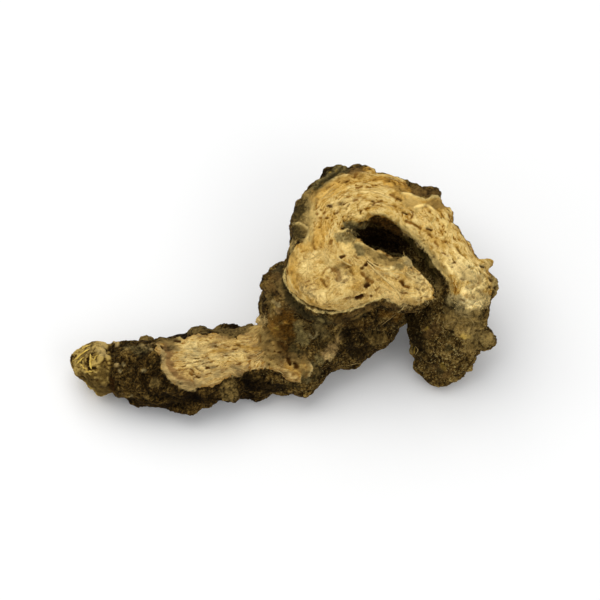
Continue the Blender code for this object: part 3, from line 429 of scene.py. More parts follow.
    ("brown", 0.32, 0.8, -0.3, [(-2.6, 6.2), (-2.4, 5.4)]),
    ("brown", 0.2, 0.6, -0.2, [(2.4, 2.0), (3.4, 2.2)]),
    ("brown", 0.18, 0.5, -0.2, [(0.8, 3.4), (1.8, 3.8)]),
    ("brown", 0.18, 0.5, -0.2, [(1.2, 2.8), (2.4, 3.2)]),
    ("brown", 0.28, 0.6, -0.2, [(6.0, -1.4)]),
    ("brown", 0.24, 0.5, -0.2, [(0.8, -0.4)]),
    ("brown", 0.2, 0.5, -0.2, [(4.0, 0.8)]),
    ("brown", 0.24, 0.6, -0.25, [(8.8, 3.6), (9.4, 4.0)]),
    ("brown", 0.2, 0.55, -0.2, [(9.2, 6.4), (10.4, 6.8)]),
    ("brown", 0.24, 0.55, -0.2, [(10.2, 5.6), (10.8, 4.8)]),
    ("brown", 0.4, 0.8, -0.35, [(12.4, 5.2), (13.2, 4.4), (14.4, 3.6)]),
    ("brown", 0.4, 0.9, -0.4, [(20.2, 3.8), (20.8, 3.0), (21.6, 2.6)]),
    ("dark", 0.24, 0.8, -0.4, [(20.4, 3.6), (20.8, 3.2)]),
    ("dark", 0.22, 0.8, -0.3, [(13.6, 7.6), (14.4, 7.1), (15.4, 6.8)]),
    ("brown", 0.22, 0.7, -0.25, [(20.0, 1.6), (21.4, 1.4)]),
    ("brown", 0.2, 0.7, -0.3, [(22.2, 6.4), (22.6, 6.0)]),
    ("brown", 0.18, 0.65, -0.25, [(23.6, 5.0), (24.2, 5.2)]),
    ("brown", 0.2, 0.7, -0.3, [(25.0, 3.4), (25.4, 3.0)]),
    ("brown", 0.18, 0.65, -0.25, [(23.2, 2.4), (23.8, 2.0)]),
    ("brown", 0.18, 0.7, -0.3, [(24.8, 0.8), (25.6, 0.7)]),
    ("brown", 0.18, 0.65, -0.25, [(26.2, 2.4), (26.4, 2.0)]),
    ("pale", 0.32, 0.6, 0.15, [(22.8, 4.2), (23.8, 3.8), (24.6, 4.2)]),
    ("pale", 0.3, 0.6, 0.15, [(25.6, 1.6), (26.0, 0.8)]),
    ("brown", 0.22, 0.6, -0.25, [(19.2, 4.2), (19.8, 4.6)]),
    ("brown", 0.24, 0.6, -0.25, [(15.2, 2.0), (15.8, 2.6)]),
    ("brown", 0.2, 0.5, -0.2, [(9.2, 0.4), (10.4, 0.4)]),
    ("brown", 0.2, 0.6, -0.2, [(10.8, 8.8), (11.6, 8.2)]),
    ("brown", 0.24, 0.6, -0.25, [(0.6, 9.8)]),
    ("brown", 0.24, 0.6, -0.25, [(0.4, 11.6)]),
    ("brown", 0.22, 0.6, -0.25, [(2.8, 10.8), (3.0, 10.2)]),
    ("brown", 0.2, 0.6, -0.2, [(6.2, 12.0), (6.2, 11.2)]),
    ("dark", 0.3, 1, -0.4, [(13.2, 7.0)]),
    ("dark", 0.36, 0.8, -0.3, [(12.4, 6.2)]),
    ("dark", 0.36, 0.9, -0.35, [(13.2, 2.8), (13.6, 3.1)]),
    ("dark", 0.36, 1, -0.4, [(11.3, 0.4)]),
    ("dark", 0.34, 1, -0.4, [(11.9, 0.6), (12.4, 0.8)]),
    ("dark", 0.26, 0.7, -0.3, [(14.2, 0.8)]),
    ("dark", 0.28, 0.8, -0.3, [(8.2, 8.6), (8.8, 8.9)]),
    ("dark", 0.34, 1, -0.4, [(15.2, 10.1), (17.0, 9.6)]),
    # Pits of the arch
    ("dark", 0.3, 0.9, -0.4, [(5.6, 18.8), (6.2, 18.7)]),
    ("brown", 0.22, 0.8, -0.3, [(8.1, 19.2), (8.4, 19.4)]),
    ("brown", 0.22, 0.8, -0.3, [(3.4, 17.2)]),
    ("brown", 0.22, 0.8, -0.3, [(4.0, 16.4)]),
    ("brown", 0.22, 0.8, -0.3, [(4.8, 17.2), (5.0, 17.6)]),
    ("brown", 0.22, 0.8, -0.3, [(5.4, 16.4)]),
    ("brown", 0.22, 0.7, -0.3, [(4.2, 18.0)]),
    ("brown", 0.22, 0.7, -0.3, [(3.2, 18.2), (3.8, 18.6)]),
    ("brown", 0.24, 0.7, -0.3, [(7.2, 17.2), (7.6, 17.6)]),
    ("dark", 0.24, 0.8, -0.3, [(13.8, 26.0)]),
    ("brown", 0.26, 0.8, -0.3, [(10.8, 24.4), (11.2, 24.8)]),
    ("brown", 0.22, 0.7, -0.25, [(11.2, 22.4), (12.4, 22.6)]),
    ("brown", 0.2, 0.7, -0.25, [(10.8, 19.8), (11.4, 20.0)]),
    ("brown", 0.2, 0.7, -0.25, [(18.0, 21.0), (19.4, 20.2)]),
    ("dark", 0.22, 0.8, -0.3, [(19.6, 20.2), (20.2, 19.8)]),
    ("brown", 0.2, 0.7, -0.25, [(14.4, 19.8), (15.0, 19.4), (14.6, 19.0)]),
    ("brown", 0.2, 0.7, -0.25, [(15.6, 19.6), (16.4, 19.8)]),
    ("dark", 0.24, 0.9, -0.35, [(20.6, 17.4), (21.4, 17.2)]),
    ("brown", 0.2, 0.7, -0.25, [(22.2, 16.4), (22.6, 17.0)]),
    ("dark", 0.28, 0.9, -0.35, [(25.6, 14.3), (26.4, 14.1)]),
    ("brown", 0.26, 0.8, -0.3, [(21.2, 15.8), (22.6, 15.2), (24.0, 14.4)]),
    ("brown", 0.24, 0.8, -0.3, [(25.6, 13.4), (26.4, 12.6)]),
    ("brown", 0.24, 0.8, -0.3, [(27.0, 11.6), (27.6, 10.8)]),
    ("brown", 0.22, 0.7, -0.25, [(25.2, 18.6)]),
    ("brown", 0.22, 0.7, -0.25, [(26.0, 17.6)]),
    ("brown", 0.2, 0.7, -0.2, [(26.8, 8.6)]),
    ("brown", 0.22, 0.8, -0.3, [(28.6, 9.4), (29.0, 9.2)]),
    ("brown", 0.22, 0.8, -0.3, [(30.0, 8.0)]),
    ("brown", 0.22, 0.8, -0.3, [(30.6, 7.4), (31.0, 7.6)]),
    ("brown", 0.22, 0.8, -0.3, [(30.4, 6.6)]),
    ("brown", 0.22, 0.7, -0.3, [(29.6, 8.8)]),
    ("brown", 0.22, 0.7, -0.3, [(31.6, 8.2)]),
    ("dark", 0.28, 0.9, -0.35, [(36.2, 6.8), (36.8, 6.6)]),
    # Pits and crests of the limb's end
    ("brown", 0.16, 0.7, -0.25, [(32.0, 0.2), (32.8, -0.2)]),
    ("brown", 0.18, 0.75, -0.3, [(34.4, 0.8), (34.8, 0.4)]),
    ("brown", 0.18, 0.75, -0.3, [(33.2, 2.6), (33.6, 2.2)]),
    ("brown", 0.16, 0.7, -0.25, [(35.8, 2.0), (36.2, 1.6)]),
    ("brown", 0.16, 0.7, -0.25, [(32.2, 4.2), (32.6, 4.0)]),
    ("cream white", 0.16, 0.85, 0.15, [(32.6, -0.6), (33.6, -1.2), (34.6, -1.4)]),
    ("cream white", 0.16, 0.8, 0.15, [(33.6, 0.0), (34.8, -0.8), (36.0, -1.2)]),
    ("brown", 0.24, 0.8, -0.3, [(34.8, 3.8)]),
    ("brown", 0.24, 0.8, -0.3, [(35.5, 3.2)]),
    ("dark", 0.32, 0.9, -0.4, [(37.8, 4.4), (38.2, 3.8)]),
    ("dark", 0.3, 0.9, -0.4, [(38.0, 2.6)]),
    ("dark", 0.28, 0.9, -0.4, [(39.0, 2.4)]),
    # Pits of the arm's face
    ("dark", 0.4, 1, -0.4, [(-27.8, -9.4)]),
    ("dark", 0.26, 0.9, -0.3, [(-25.0, -8.2), (-24.0, -8.4)]),
    ("brown", 0.24, 0.9, -0.35, [(-21.8, -13.8), (-21.3, -14.4)]),
    ("brown", 0.24, 0.9, -0.35, [(-21.0, -13.3), (-20.4, -13.9)]),
    ("brown", 0.24, 0.8, -0.35, [(-22.0, -14.6), (-21.6, -15.0)]),
    ("brown", 0.22, 0.7, -0.2, [(-12.6, -8.8), (-12.0, -9.2)]),
    ("brown", 0.18, 0.75, -0.2, [(-11.2, -10.2), (-10.6, -10.5)]),
    ("brown", 0.18, 0.7, -0.25, [(-20.0, -14.2), (-19.6, -14.4)]),
    ("dark", 0.2, 0.8, -0.2, [(-19.7, -6.5)]),
    ("brown", 0.16, 0.75, -0.2, [(-7.0, -10.8)]),
    ("brown", 0.16, 0.75, -0.2, [(-6.4, -10.0)]),
    ("brown", 0.16, 0.75, -0.2, [(-6.0, -11.8)]),
    ("brown", 0.18, 0.7, -0.2, [(-10.4, -11.5), (-10.0, -11.6)]),
    ("brown", 0.28, 0.7, -0.25, [(-8.0, -7.2), (-7.9, -8.2)]),
    ("deep rust", 0.26, 0.7, -0.2, [(-7.2, -5.4), (-7.0, -6.0)]),
    ("brown", 0.16, 0.65, -0.2, [(-15.6, -8.8), (-15.0, -9.0)]),
    ("brown", 0.16, 0.65, -0.2, [(-14.0, -10.2), (-13.4, -10.2)]),
    ("brown", 0.16, 0.65, -0.2, [(-18.2, -12.4), (-17.6, -12.6)]),
    ("brown", 0.2, 0.6, -0.2, [(-9.6, -9.8)]),
    ("brown", 0.2, 0.6, -0.2, [(-17.0, -9.2), (-16.4, -9.4)]),
    ("deep rust", 0.38, 1, -0.7, [(-2.4, -11.8), (-2.0, -12.8)]),
    ("deep rust", 0.34, 1, -0.7, [(-1.0, -12.7), (-0.6, -13.4)]),
    # Slits of the bud: painted shade in the gaps between its straws, sunk a little
    ("dark", 0.6, 0.8, -0.5, [(-37.6, -16.0), (-37.6, -17.4), (-37.2, -19.0)]),
    ("dark", 0.3, 0.8, -0.5, [(-41.0, -11.4), (-40.6, -12.2)]),
    ("dark", 0.3, 0.9, -0.5, [(-43.0, -12.8), (-42.4, -13.0)]),
    ("dark", 0.4, 0.9, -0.5, [(-42.4, -14.8)]),
    ("dark", 0.24, 0.8, -0.4, [(-41.2, -10.0)]),
    ("dark", 0.32, 0.8, -0.4, [(-40.6, -15.8)]),
]
# Loose fibres on the lobe: half width, and places across and up the view.
LOOSE_FIBRES = [
    (0.2, [(12.8, 8.6), (14.0, 7.6), (15.6, 6.6), (18.2, 6.4)]),
    (0.22, [(13.4, 7.6), (15.2, 5.8), (17.2, 4.0), (19.2, 2.0), (20.2, 0.6)]),
    (0.16, [(16.0, 2.6), (18.0, 1.8), (19.8, 0.0)]),
    (0.16, [(17.6, 5.0), (19.2, 5.6), (20.6, 5.4)]),
    (0.16, [(14.4, 6.4), (16.2, 5.6), (18.0, 5.4), (19.6, 4.2)]),
    (0.14, [(20.8, 1.8), (22.6, 1.4), (24.4, 2.0)]),
    (0.14, [(0.0, 7.6), (2.4, 8.4), (4.4, 9.2)]),
    (0.16, [(7.2, 8.6), (9.2, 7.4), (10.4, 6.8)]),
    (0.14, [(21.2, 5.6), (22.4, 4.8), (23.8, 5.0)]),
    (0.14, [(21.6, 4.0), (23.2, 3.2), (24.8, 3.8)]),
    (0.14, [(22.4, 0.6), (24.0, 0.6), (25.6, 1.6)]),
]
# Thin curled edges of the bark and the leg, in the same form.
THIN_EDGES = [
    (0.07, [(29.2, -7.6), (28.6, -6.0), (29.4, -4.8), (30.8, -4.2)]),
    (0.06, [(30.4, -4.2), (32.4, -4.6), (34.2, -4.4)]),
    (0.06, [(31.0, -5.8), (32.8, -6.0), (34.8, -5.2)]),
    (0.06, [(27.4, -8.2), (29.2, -9.0), (30.8, -8.2)]),
    (0.06, [(31.6, -2.8), (33.2, -3.4), (34.8, -3.2)]),
    (0.06, [(26.0, -8.8), (26.8, -10.0), (26.2, -11.2)]),
    (0.06, [(25.0, -12.2), (26.2, -12.6), (27.2, -11.8)]),
    (0.06, [(31.0, -10.4), (32.2, -11.0), (33.2, -10.4)]),
    (0.06, [(35.2, 0.6), (36.0, -0.6), (36.8, -2.0)]),
    (0.1, [(21.2, -0.4), (20.6, -1.6), (19.2, -2.8), (17.6, -4.0), (16.4, -5.0)]),
    (0.1, [(9.2, -13.2), (10.8, -12.8), (12.2, -12.6), (14.2, -11.8)]),
    (0.1, [(34.0, -3.6), (34.8, -4.8), (34.4, -6.0)]),
    (0.1, [(23.0, -9.2), (23.6, -10.0), (23.0, -11.0)]),
    (0.1, [(28.0, -3.2), (27.4, -4.4)]),
]
# Straws of the bud: both ends across and up the view, and half width.
STRAWS = [
    (-45.4, -12.2, -42.0, -9.8, 0.22),
    (-44.8, -12.8, -43.0, -11.4, 0.18),
    (-42.0, -10.8, -41.6, -13.8, 0.24),
    (-44.0, -12.8, -42.4, -13.8, 0.18),
    (-43.8, -10.0, -41.8, -9.0, 0.16),
    (-41.6, -12.2, -40.4, -11.0, 0.15),
    (-43.2, -14.4, -41.4, -14.2, 0.16),
]
# Tufts of short hairs: how many, and the torn edge that they stand on.
TUFTS = [
    (40, [(17.6, 0.8), (19.2, -0.4), (21.0, -1.0)]),
    (90, [(22.8, 6.8), (24.8, 5.4), (26.4, 4.0), (27.2, 2.2), (26.4, 0.2), (24.0, -0.6), (21.6, -0.6)]),
    (60, [(30.6, 0.0), (32.4, -1.0), (34.8, -1.4), (36.8, -0.8)]),
    (24, [(-8.4, -4.6), (-6.4, -4.0)]),
    (30, [(20.8, 7.6), (21.0, 8.8), (22.2, 8.4)]),
    (30, [(7.2, 13.2), (9.2, 14.0), (11.0, 13.2)]),
]
# Where the outline is nudged: place across and up the view, reach, and shift right and up.
NUDGES = [
    (20.8, 9.8, 1.3, 0.0, -1.1), (-3.4, 12.4, 2.8, 1.5, 0.0), (40.2, -1.2, 3.4, -2.2, 0.0),
    (39.0, -9.0, 2.6, 0.3, 1.0), (34.6, 12.4, 4.5, -0.6, -0.5), (21.0, 25.6, 3.0, -0.3, -0.8),
    (16.4, 27.2, 2.0, 0.0, -0.8), (-46.0, -12.6, 2.4, 0.8, 0.0), (-43.0, -17.6, 2.6, 0.6, 0.6),
    (-0.6, 20.6, 2.6, 0.5, -0.4), (30.4, 16.0, 2.6, -0.7, -0.2), (3.6, -18.8, 1.8, -0.2, 1.0),
    (37.0, 8.8, 2.2, -0.6, -0.4), (13.6, 26.6, 1.3, 0.0, 0.5), (12.6, 11.8, 2.4, 0.2, 1.0),
    (17.2, 9.2, 2.6, 0.0, 0.9), (19.8, -4.4, 1.4, 1.0, 0.0), (22.3, -4.4, 1.4, -0.8, 0.0),
    (20.4, -3.4, 1.2, 0.5, 0.0), (22.0, -3.4, 1.2, -0.5, 0.0), (38.6, 5.6, 1.4, -1.3, 0.2),
    (37.6, -3.8, 1.6, -0.8, 0.0), (15.4, 26.0, 1.5, -0.1, -0.6), (35.2, 10.8, 2.4, -0.45, -0.45),
    (12.0, 16.4, 2.0, 0.2, -1.1), (27.4, 7.4, 1.8, -0.9, -0.2), (10.8, -1.8, 2.8, 0.0, 0.8),
    (3.6, -2.6, 2.4, 0.0, 0.3),
]


# Noise on the surface
SEED_STEP = np.array([7.3, 3.1, 5.7])
CELL_SEED_STEP = 11.7
# Brings the crests of folded noise to about 1.
FOLD_GAIN = 2.6
# Keeps a division from being by nothing.
TINY = 1e-9


def ease(value, low, high):
    """Rises smoothly from 0 at low to 1 at high."""
    t = np.clip((value - low) / (high - low), 0.0, 1.0)
    return t * t * (3 - 2 * t)


def fade(value, full, gone):
    """Falls smoothly from 1 at full to 0 at gone."""
    return 1 - ease(value, full, gone)


def noise_at(points, scale, seed):
    """Perlin noise of every point, stretched by scale along each axis."""
    moved = points * np.array(scale) + seed * SEED_STEP
    return np.array([noise.noise(point) for point in moved.tolist()])


def ridges_at(points, scale, seed):
    """Sharp crests at 1 with troughs below."""
    return 1 - FOLD_GAIN * np.abs(noise_at(points, scale, seed))


def billows_at(points, scale, seed):
    """Rounded bumps around 0.5, parted by sharp creases at -0.5."""
    return FOLD_GAIN * np.abs(noise_at(points, scale, seed)) - 0.5


def lines_at(points, scale, seed, width):
    """1 along thin wandering lines, 0 elsewhere."""
    return fade(np.abs(noise_at(points, scale, seed)), 0.0, width)


def cells_at(points, scale, seed):
    """1 in the middle of each cell of a Voronoi pattern, 0 at its walls."""
    moved = points * scale + seed * CELL_SEED_STEP
    nearest = np.array([noise.voronoi(point)[0][:2] for point in moved.tolist()])
    return fade(nearest[:, 0] / (nearest[:, 1] + TINY), 0.3, 1.0)


def layered(points, layers):
    """Adds up layers of noise, each a height, a kind of noise, its scale and its seed."""
    return sum(height * kind(points, scale, seed) for height, kind, scale, seed in layers)


# Layers of noise, in millimetres
EDGE_WANDER = [(0.50, noise_at, 0.6, 5), (0.30, noise_at, 1.6, 6), (0.15, noise_at, 3.4, 8)]
LOBE_WANDER = [(1.8, noise_at, 0.32, 45), (0.8, noise_at, 0.9, 46), (0.3, noise_at, 2.2, 54)]
FIBRES = [
    (0.11, ridges_at, (0.24, 0.8, 0.3), 13), (0.10, ridges_at, (0.5, 1.7, 0.5), 14),
    (0.07, ridges_at, (1.2, 3.4, 1.0), 15),
]
LOBE_RINGS = [
    (0.16, noise_at, (0.3, 0.7, 0.3), 16), (0.11, ridges_at, (0.7, 1.6, 0.6), 17),
    (0.10, noise_at, (1.4, 3.0, 1.0), 18),
]
LOBE_CRUMBS = [(0.18, ridges_at, 1.5, 50), (0.14, noise_at, 2.8, 51)]
BARK_CRUMPLE = [(0.40, noise_at, 0.34, 21), (0.30, billows_at, 0.45, 22)]
BARK_KNOBS = [(0.08, billows_at, 1.1, 23), (0.05, billows_at, 2.4, 24)]
BARK_STREAKS = [(0.09, ridges_at, (0.3, 1.3, 0.8), 48), (0.06, ridges_at, (0.7, 2.8, 1.2), 49)]
BARK_GRIT = [(0.09, noise_at, 1.8, 36), (0.08, noise_at, 3.8, 28)]
BUD_STRAW = [
    (0.20, ridges_at, (0.5, 1.1, 1.1), 42), (0.16, ridges_at, (1.1, 2.42, 2.42), 43),
    (0.08, noise_at, 3.5, 44),
]

# Places of the view on the surface
# A point is shown when nothing stands over it from this height on.
SIGHT_CLEARANCE = 0.3
# A longer step between two places means that the line has jumped to another surface.
LONGEST_STEP = 2.5


def seen(points):
    """Across and up the view for every point."""
    offset = points - VIEW_PLACE
    size = VIEW_DISTANCE / -(offset @ TOWARDS_VIEW)
    return np.column_stack([offset[:, 0] * size, offset @ VIEW_UP * size])


def found_on(tree, across, up):
    """The place on the surface that shows at this spot of the view, with its normal."""
    target = VIEW_CENTRE + np.array([across, 0, 0]) + VIEW_UP * up
    heading = Vector(target - VIEW_PLACE).normalized()
    return tree.ray_cast(Vector(VIEW_PLACE), heading)[:2]


def line_distance(places, line):
    """Distance of every place from a run of short lines, or from one point."""
    nearest = np.linalg.norm(places - np.array(line[0]), axis=1)
    for start, end in zip(line, line[1:]):
        start = np.array(start)
        step = np.array(end) - start
        share = np.clip((places - start) @ step / max(step @ step, TINY), 0.0, 1.0)
        nearest = np.minimum(nearest, np.linalg.norm(places - start - np.outer(share, step), axis=1))
    return nearest


def inside_by(flat, outline):
    """How far every seen point lies inside the outline, negative outside."""
    crossings = np.zeros(len(flat), bool)
    closed = outline + outline[:1]
    for (x0, y0), (x1, y1) in zip(closed, closed[1:]):
        spans = (y0 > flat[:, 1]) != (y1 > flat[:, 1])
        reach = x0 + (flat[:, 1] - y0) * (x1 - x0) / ((y1 - y0) or TINY)
        crossings ^= spans & (flat[:, 0] < reach)
    return np.where(crossings, 1, -1) * line_distance(flat, closed)


def in_view(tree, points, normals):
    """Whether each point shows in the view."""
    shown = np.zeros(len(points), bool)
    for index in np.flatnonzero(normals @ TOWARDS_VIEW > 0):
        start = Vector(points[index] + normals[index] * SIGHT_CLEARANCE)
        heading = (Vector(VIEW_PLACE) - start).normalized()
        shown[index] = tree.ray_cast(start, heading)[0] is None
    return shown


def smooth_path(points, steps=8):
    """Passes a smooth run of points through the given ones."""
    corners = [np.array(point, float) for point in points]
    run = []
    last = len(corners) - 1
    for index in range(last):
        before, start = corners[max(index - 1, 0)], corners[index]
        end, after = corners[index + 1], corners[min(index + 2, last)]
        for step in range(steps):
            t = step / steps
            bend = (2 * before - 5 * start + 4 * end - after) * t * t
            twist = (3 * start - before - 3 * end + after) * t * t * t
            run.append((2 * start + (end - before) * t + bend + twist) / 2)
    run.append(corners[-1])
    return np.array(run)


def line_on(tree, corners, steps=4):
    """The smooth line through these places of the view, laid on the surface in unbroken runs."""
    runs = [[]]
    for across, up in (smooth_path(corners, steps) if len(corners) > 1 else corners):
        place, _ = found_on(tree, across, up)
        if place is None:
            continue
        if runs[-1] and (place - Vector(runs[-1][-1])).length > LONGEST_STEP:
            runs.append([])
        runs[-1].append(tuple(place))
    return [run for run in runs if run]


# The mesh's numbers, in and out
def mesh_points(mesh):
    """The mesh's points in millimetres."""
    flat = np.empty(len(mesh.vertices) * 3)
    mesh.vertices.foreach_get("co", flat)
    return flat.reshape(-1, 3) / MM


def mesh_normals(mesh):
    """The mesh's point normals."""
    flat = np.empty(len(mesh.vertices) * 3)
    mesh.vertices.foreach_get("normal", flat)
    return flat.reshape(-1, 3)


def move_points(mesh, points):
    """Puts the mesh's points at these places in millimetres."""
    mesh.vertices.foreach_set("co", (points * MM).ravel())
    mesh.update()


def shade_smooth(mesh):
    """Lets every face shade into the next."""
    for polygon in mesh.polygons:
        polygon.use_smooth = True


def store(mesh, name, channels, alpha=1.0):
    """Keeps three numbers a point, and a share, on the mesh for its material."""
    layer = mesh.attributes.new(name, "FLOAT_COLOR", "POINT")
    full = np.empty((len(mesh.vertices), 4), np.float32)
    full[:, :3] = np.column_stack(channels)
    full[:, 3] = alpha
    layer.data.foreach_set("color", full.ravel())


def store_vector(mesh, name, values):
    """Keeps a vector a point on the mesh for its material."""
    layer = mesh.attributes.new(name, "FLOAT_VECTOR", "POINT")
    layer.data.foreach_set("vector", values.astype(np.float32).ravel())


def stored(mesh, name):
    """The four numbers a point that the mesh keeps under this name."""
    full = np.empty(len(mesh.vertices) * 4, np.float32)
    mesh.attributes[name].data.foreach_get("color", full)
    return full.reshape(-1, 4)


def tree_of(mesh):
    """A search tree over the mesh's surface, in millimetres."""
    places = mesh_points(mesh).tolist()
    return BVHTree.FromPolygons(places, [tuple(polygon.vertices) for polygon in mesh.polygons])


def add_object(name, data):
    """Links a new object to the scene."""
    made = bpy.data.objects.new(name, data)
    bpy.context.scene.collection.objects.link(made)
    return made


def finished_mesh(target):
    """The mesh with its modifiers applied."""
    graph = bpy.context.evaluated_depsgraph_get()
    return bpy.data.meshes.new_from_object(target.evaluated_get(graph))


# Parts of the rhizome, as shares of every point
# The slice across the lobe and the arch, in the solid's own drawing: its height, and its crown.
SLICE_HEIGHT = 24.6
CROWN_HEIGHT = 1.2
CROWN_MIDDLE = (7.0, -8.0)
CROWN_SPREAD = 90.0
# The middle of the lobe's rings, across and up the view.
LOBE_EYE = (6.0, 4.6)
# How far apart the grain's patterns lie on the arch and on the arm.
ARM_PATTERN = 200.0
# The depth of a point that lies on no cut face.
FAR_OUTSIDE = -9.0


def off_floor(points):
    """0 where the piece stands on the floor, 1 clear of it."""
    return ease(points[:, 2], 0.05, 0.9)


def height_over_slice(points):
    """Height above the slice, which is crowned over the lobe and falls away right and back."""
    x, y, z = (points - DRAWING).T
    away = (x - CROWN_MIDDLE[0]) ** 2 + (y - CROWN_MIDDLE[1]) ** 2
    crown = CROWN_HEIGHT * np.exp(-away / CROWN_SPREAD)
    return z - (SLICE_HEIGHT + crown - 1.3 * ease(x, 22.0, 40.0) - 1.6 * ease(y, 10.0, 20.0))


def face_shares(points, normals):
    """How much each point belongs to the cut faces, and how far inside them it lies."""
    flat = seen(points)
    across, up = flat.T
    height = points[:, 2]
    lobe_lip = fade(up, 3.0, 7.0) * ease(across, -6.0, -4.0) * fade(across, 14.0, 20.0)
    ragged = layered(points, EDGE_WANDER) * (1 - 0.7 * lobe_lip)
    facing = ease(normals @ TOWARDS_VIEW, 0.05, 0.3)
    hook_depth = inside_by(flat, HOOK_FACE) + ragged
    high = ease(height_over_slice(points), -3.6, -2.6)
    hook = ease(hook_depth, -0.2, 0.2) * high * facing
    arm_depth = inside_by(flat, ARM_FACE) + ragged
    level = ease(height, 7.4, 8.4) * fade(height, 17.5, 18.5)
    arm = ease(arm_depth, -0.2, 0.2) * level * facing
    depth = np.where(high > 0.1, hook_depth, FAR_OUTSIDE)
    return hook, arm, np.where(np.abs(arm_depth) < np.abs(hook_depth), arm_depth, depth)


def lobe_share(points):
    """1 on the crumbly lobe, 0 on the fibrous arch."""
    x, y, _ = (points - DRAWING).T
    return ease(-y + 0.22 * x + 0.8 * noise_at(points, 0.35, 7), 0.6, 4.6) * fade(x, 24.0, 27.0)


def lobe_tip(points, flat):
    """1 at the lobe's pitted right tip."""
    return ease(flat[:, 0] + 1.2 * noise_at(points, 0.6, 53), 21.5, 23.5)


def limb_end(flat):
    """1 at the lower end of the arch's limb, where the fibres fray."""
    across, up = flat.T
    return ease(across, 28.0, 33.0) * fade(up, 4.0, 9.0)


def leg_share(points):
    """1 on the bark of the leg."""
    return ease(points[:, 0], 20.0, 24.0) * fade(points[:, 2], 17.0, 20.0)


def bud_share(points):
    """1 on the fibrous bud at the arm's end."""
    x = points[:, 0] - DRAWING[0]
    return fade(x - 0.5 * noise_at(points, 0.8, 41), -38.2, -37.4)


def bark_wear(points, leg):
    """How worn and pale the bark is, most on the leg and at the arm's left."""
    left = -points[:, 0]
    return 0.38 + 0.22 * leg - 0.24 * ease(left, 2.0, 9.0) + 0.16 * ease(left, 24.0, 32.0)


# Runs of the fibres and streaks
def along_path(points, path):
    """Distance along the path, to its left, straight to it, and its heading, for every point."""
    best = np.full(len(points), 1e9)
    along = np.zeros(len(points))
    across = np.zeros(len(points))
    headings = np.zeros((len(points), 2))
    travelled = 0.0
    for start, end in zip(path, path[1:]):
        step = end - start
        length = np.linalg.norm(step)
        heading = step / length
        offset = points[:, :2] - start
        run = np.clip(offset @ heading, 0.0, length)
        side = offset[:, 1] * heading[0] - offset[:, 0] * heading[1]
        gap = np.linalg.norm(offset - np.outer(run, heading), axis=1)
        nearer = gap < best
        best[nearer] = gap[nearer]
        along[nearer] = (travelled + run)[nearer]
        across[nearer] = (np.sign(side) * gap)[nearer]
        headings[nearer] = heading
        travelled += length
    return along, across, best, headings


def grain_of(points):
    """Grain coordinates of every point, along, across and depth, and the fibres' heading."""
    sway = 1.6 * np.column_stack([noise_at(points, 0.16, 1), noise_at(points, 0.16, 2)])
    sway += 0.38 * np.column_stack([noise_at(points, 0.5, 3), noise_at(points, 0.5, 4)])
    swayed = points.copy()
    swayed[:, :2] += sway
    hook = along_path(swayed, smooth_path(HOOK_GRAIN))
    arm = along_path(swayed, smooth_path(ARM_GRAIN))
    on_arm = arm[2] < hook[2]
    along = np.where(on_arm, arm[0] + ARM_PATTERN, hook[0])
    across = np.where(on_arm, arm[1], hook[1])
    heading = np.where(on_arm[:, None], arm[3], hook[3])
    return np.column_stack([along, across, points[:, 2]]), heading


def frayed(grain, points, end):
    """The grain with its fibres tangled at the limb's end."""
    grain = grain.copy()
    grain[:, 0] += 1.6 * end * noise_at(points, 0.8, 55)
    grain[:, 1] += end * (0.8 * noise_at(points, 0.8, 56) + 0.3 * noise_at(points, 2.0, 57))
    return grain


def lobe_run(points, flat):
    """Coordinates that ring the lobe's eye, then follow its fibres towards the tip."""
    across, up = flat.T
    ring = np.hypot(across - LOBE_EYE[0], up - LOBE_EYE[1])
    beyond = ease(across, 9.0, 13.0)
    side = (1 - beyond) * ring + beyond * (0.62 * across + 0.78 * up - 5.4)
    return np.column_stack([across + 0.5 * up, side + layered(points, LOBE_WANDER), points[:, 2]])


def bark_run(points):
    """Coordinates along and across the slanting streaks of the bark."""
    along = points[:, 0]
    up = points @ VIEW_UP
    side = 0.8 * up - 0.6 * along + 1.4 * noise_at(points, 0.2, 47)
    return np.column_stack([0.8 * along + 0.6 * up, side, points @ TOWARDS_VIEW])


# Relief
def flesh_pits(points, grain, lobe, tip):
    """Pits between the fibres, and smaller pores, with the lobe's own at its tip."""
    clusters = ease(noise_at(points, 0.3, 20), -0.15, 0.25)
    pits = ease(noise_at(grain, (0.45, 2.5, 0.5), 29), 0.38, 0.54) * clusters * (1 - lobe)
    pores = ease(noise_at(grain, (1.2, 3.2, 0.8), 30), 0.28, 0.48)
    pores *= (0.3 + 0.7 * clusters) * (1 - 0.8 * lobe)
    tip_pores = lobe * tip * ease(noise_at(points, 1.5, 52), 0.22, 0.4)
    return pits, np.maximum(pores, tip_pores)


def slice_relief(points, grain, rings, lobe, on_arm, tip, inner):
    """The cut faces' broad swell, their crumpled fibres, flakes and pits, and where the pits lie."""
    swell = (0.55 - 0.2 * on_arm) * noise_at(grain, (0.10, 0.26, 0.1), 11)
    steps = 2.8 * noise_at(grain, (0.10, 0.34, 0.1), 12) + 0.4 * noise_at(points, 0.9, 19)
    flakes = (0.20 - 0.14 * on_arm) * (steps - np.floor(steps))
    fibrous = (flakes + layered(grain, FIBRES)) * (1 - 0.15 * on_arm)
    ringed = layered(rings, LOBE_RINGS) + 0.08 * ridges_at(points, 2.2, 34)
    crumbly = (1 - tip) * ringed + tip * layered(points, LOBE_CRUMBS)
    pits, pores = flesh_pits(points, grain, lobe, tip)
    fine = (1 - lobe) * fibrous + lobe * crumbly - 0.26 * pits - 0.18 * pores
    inside = ease(inner, 0.1, 0.8)
    hollows = np.maximum(0.7 * pits, 0.6 * pores) * inside
    return swell * inside * (1 - 0.4 * lobe), fine * (0.35 + 0.65 * inside), hollows


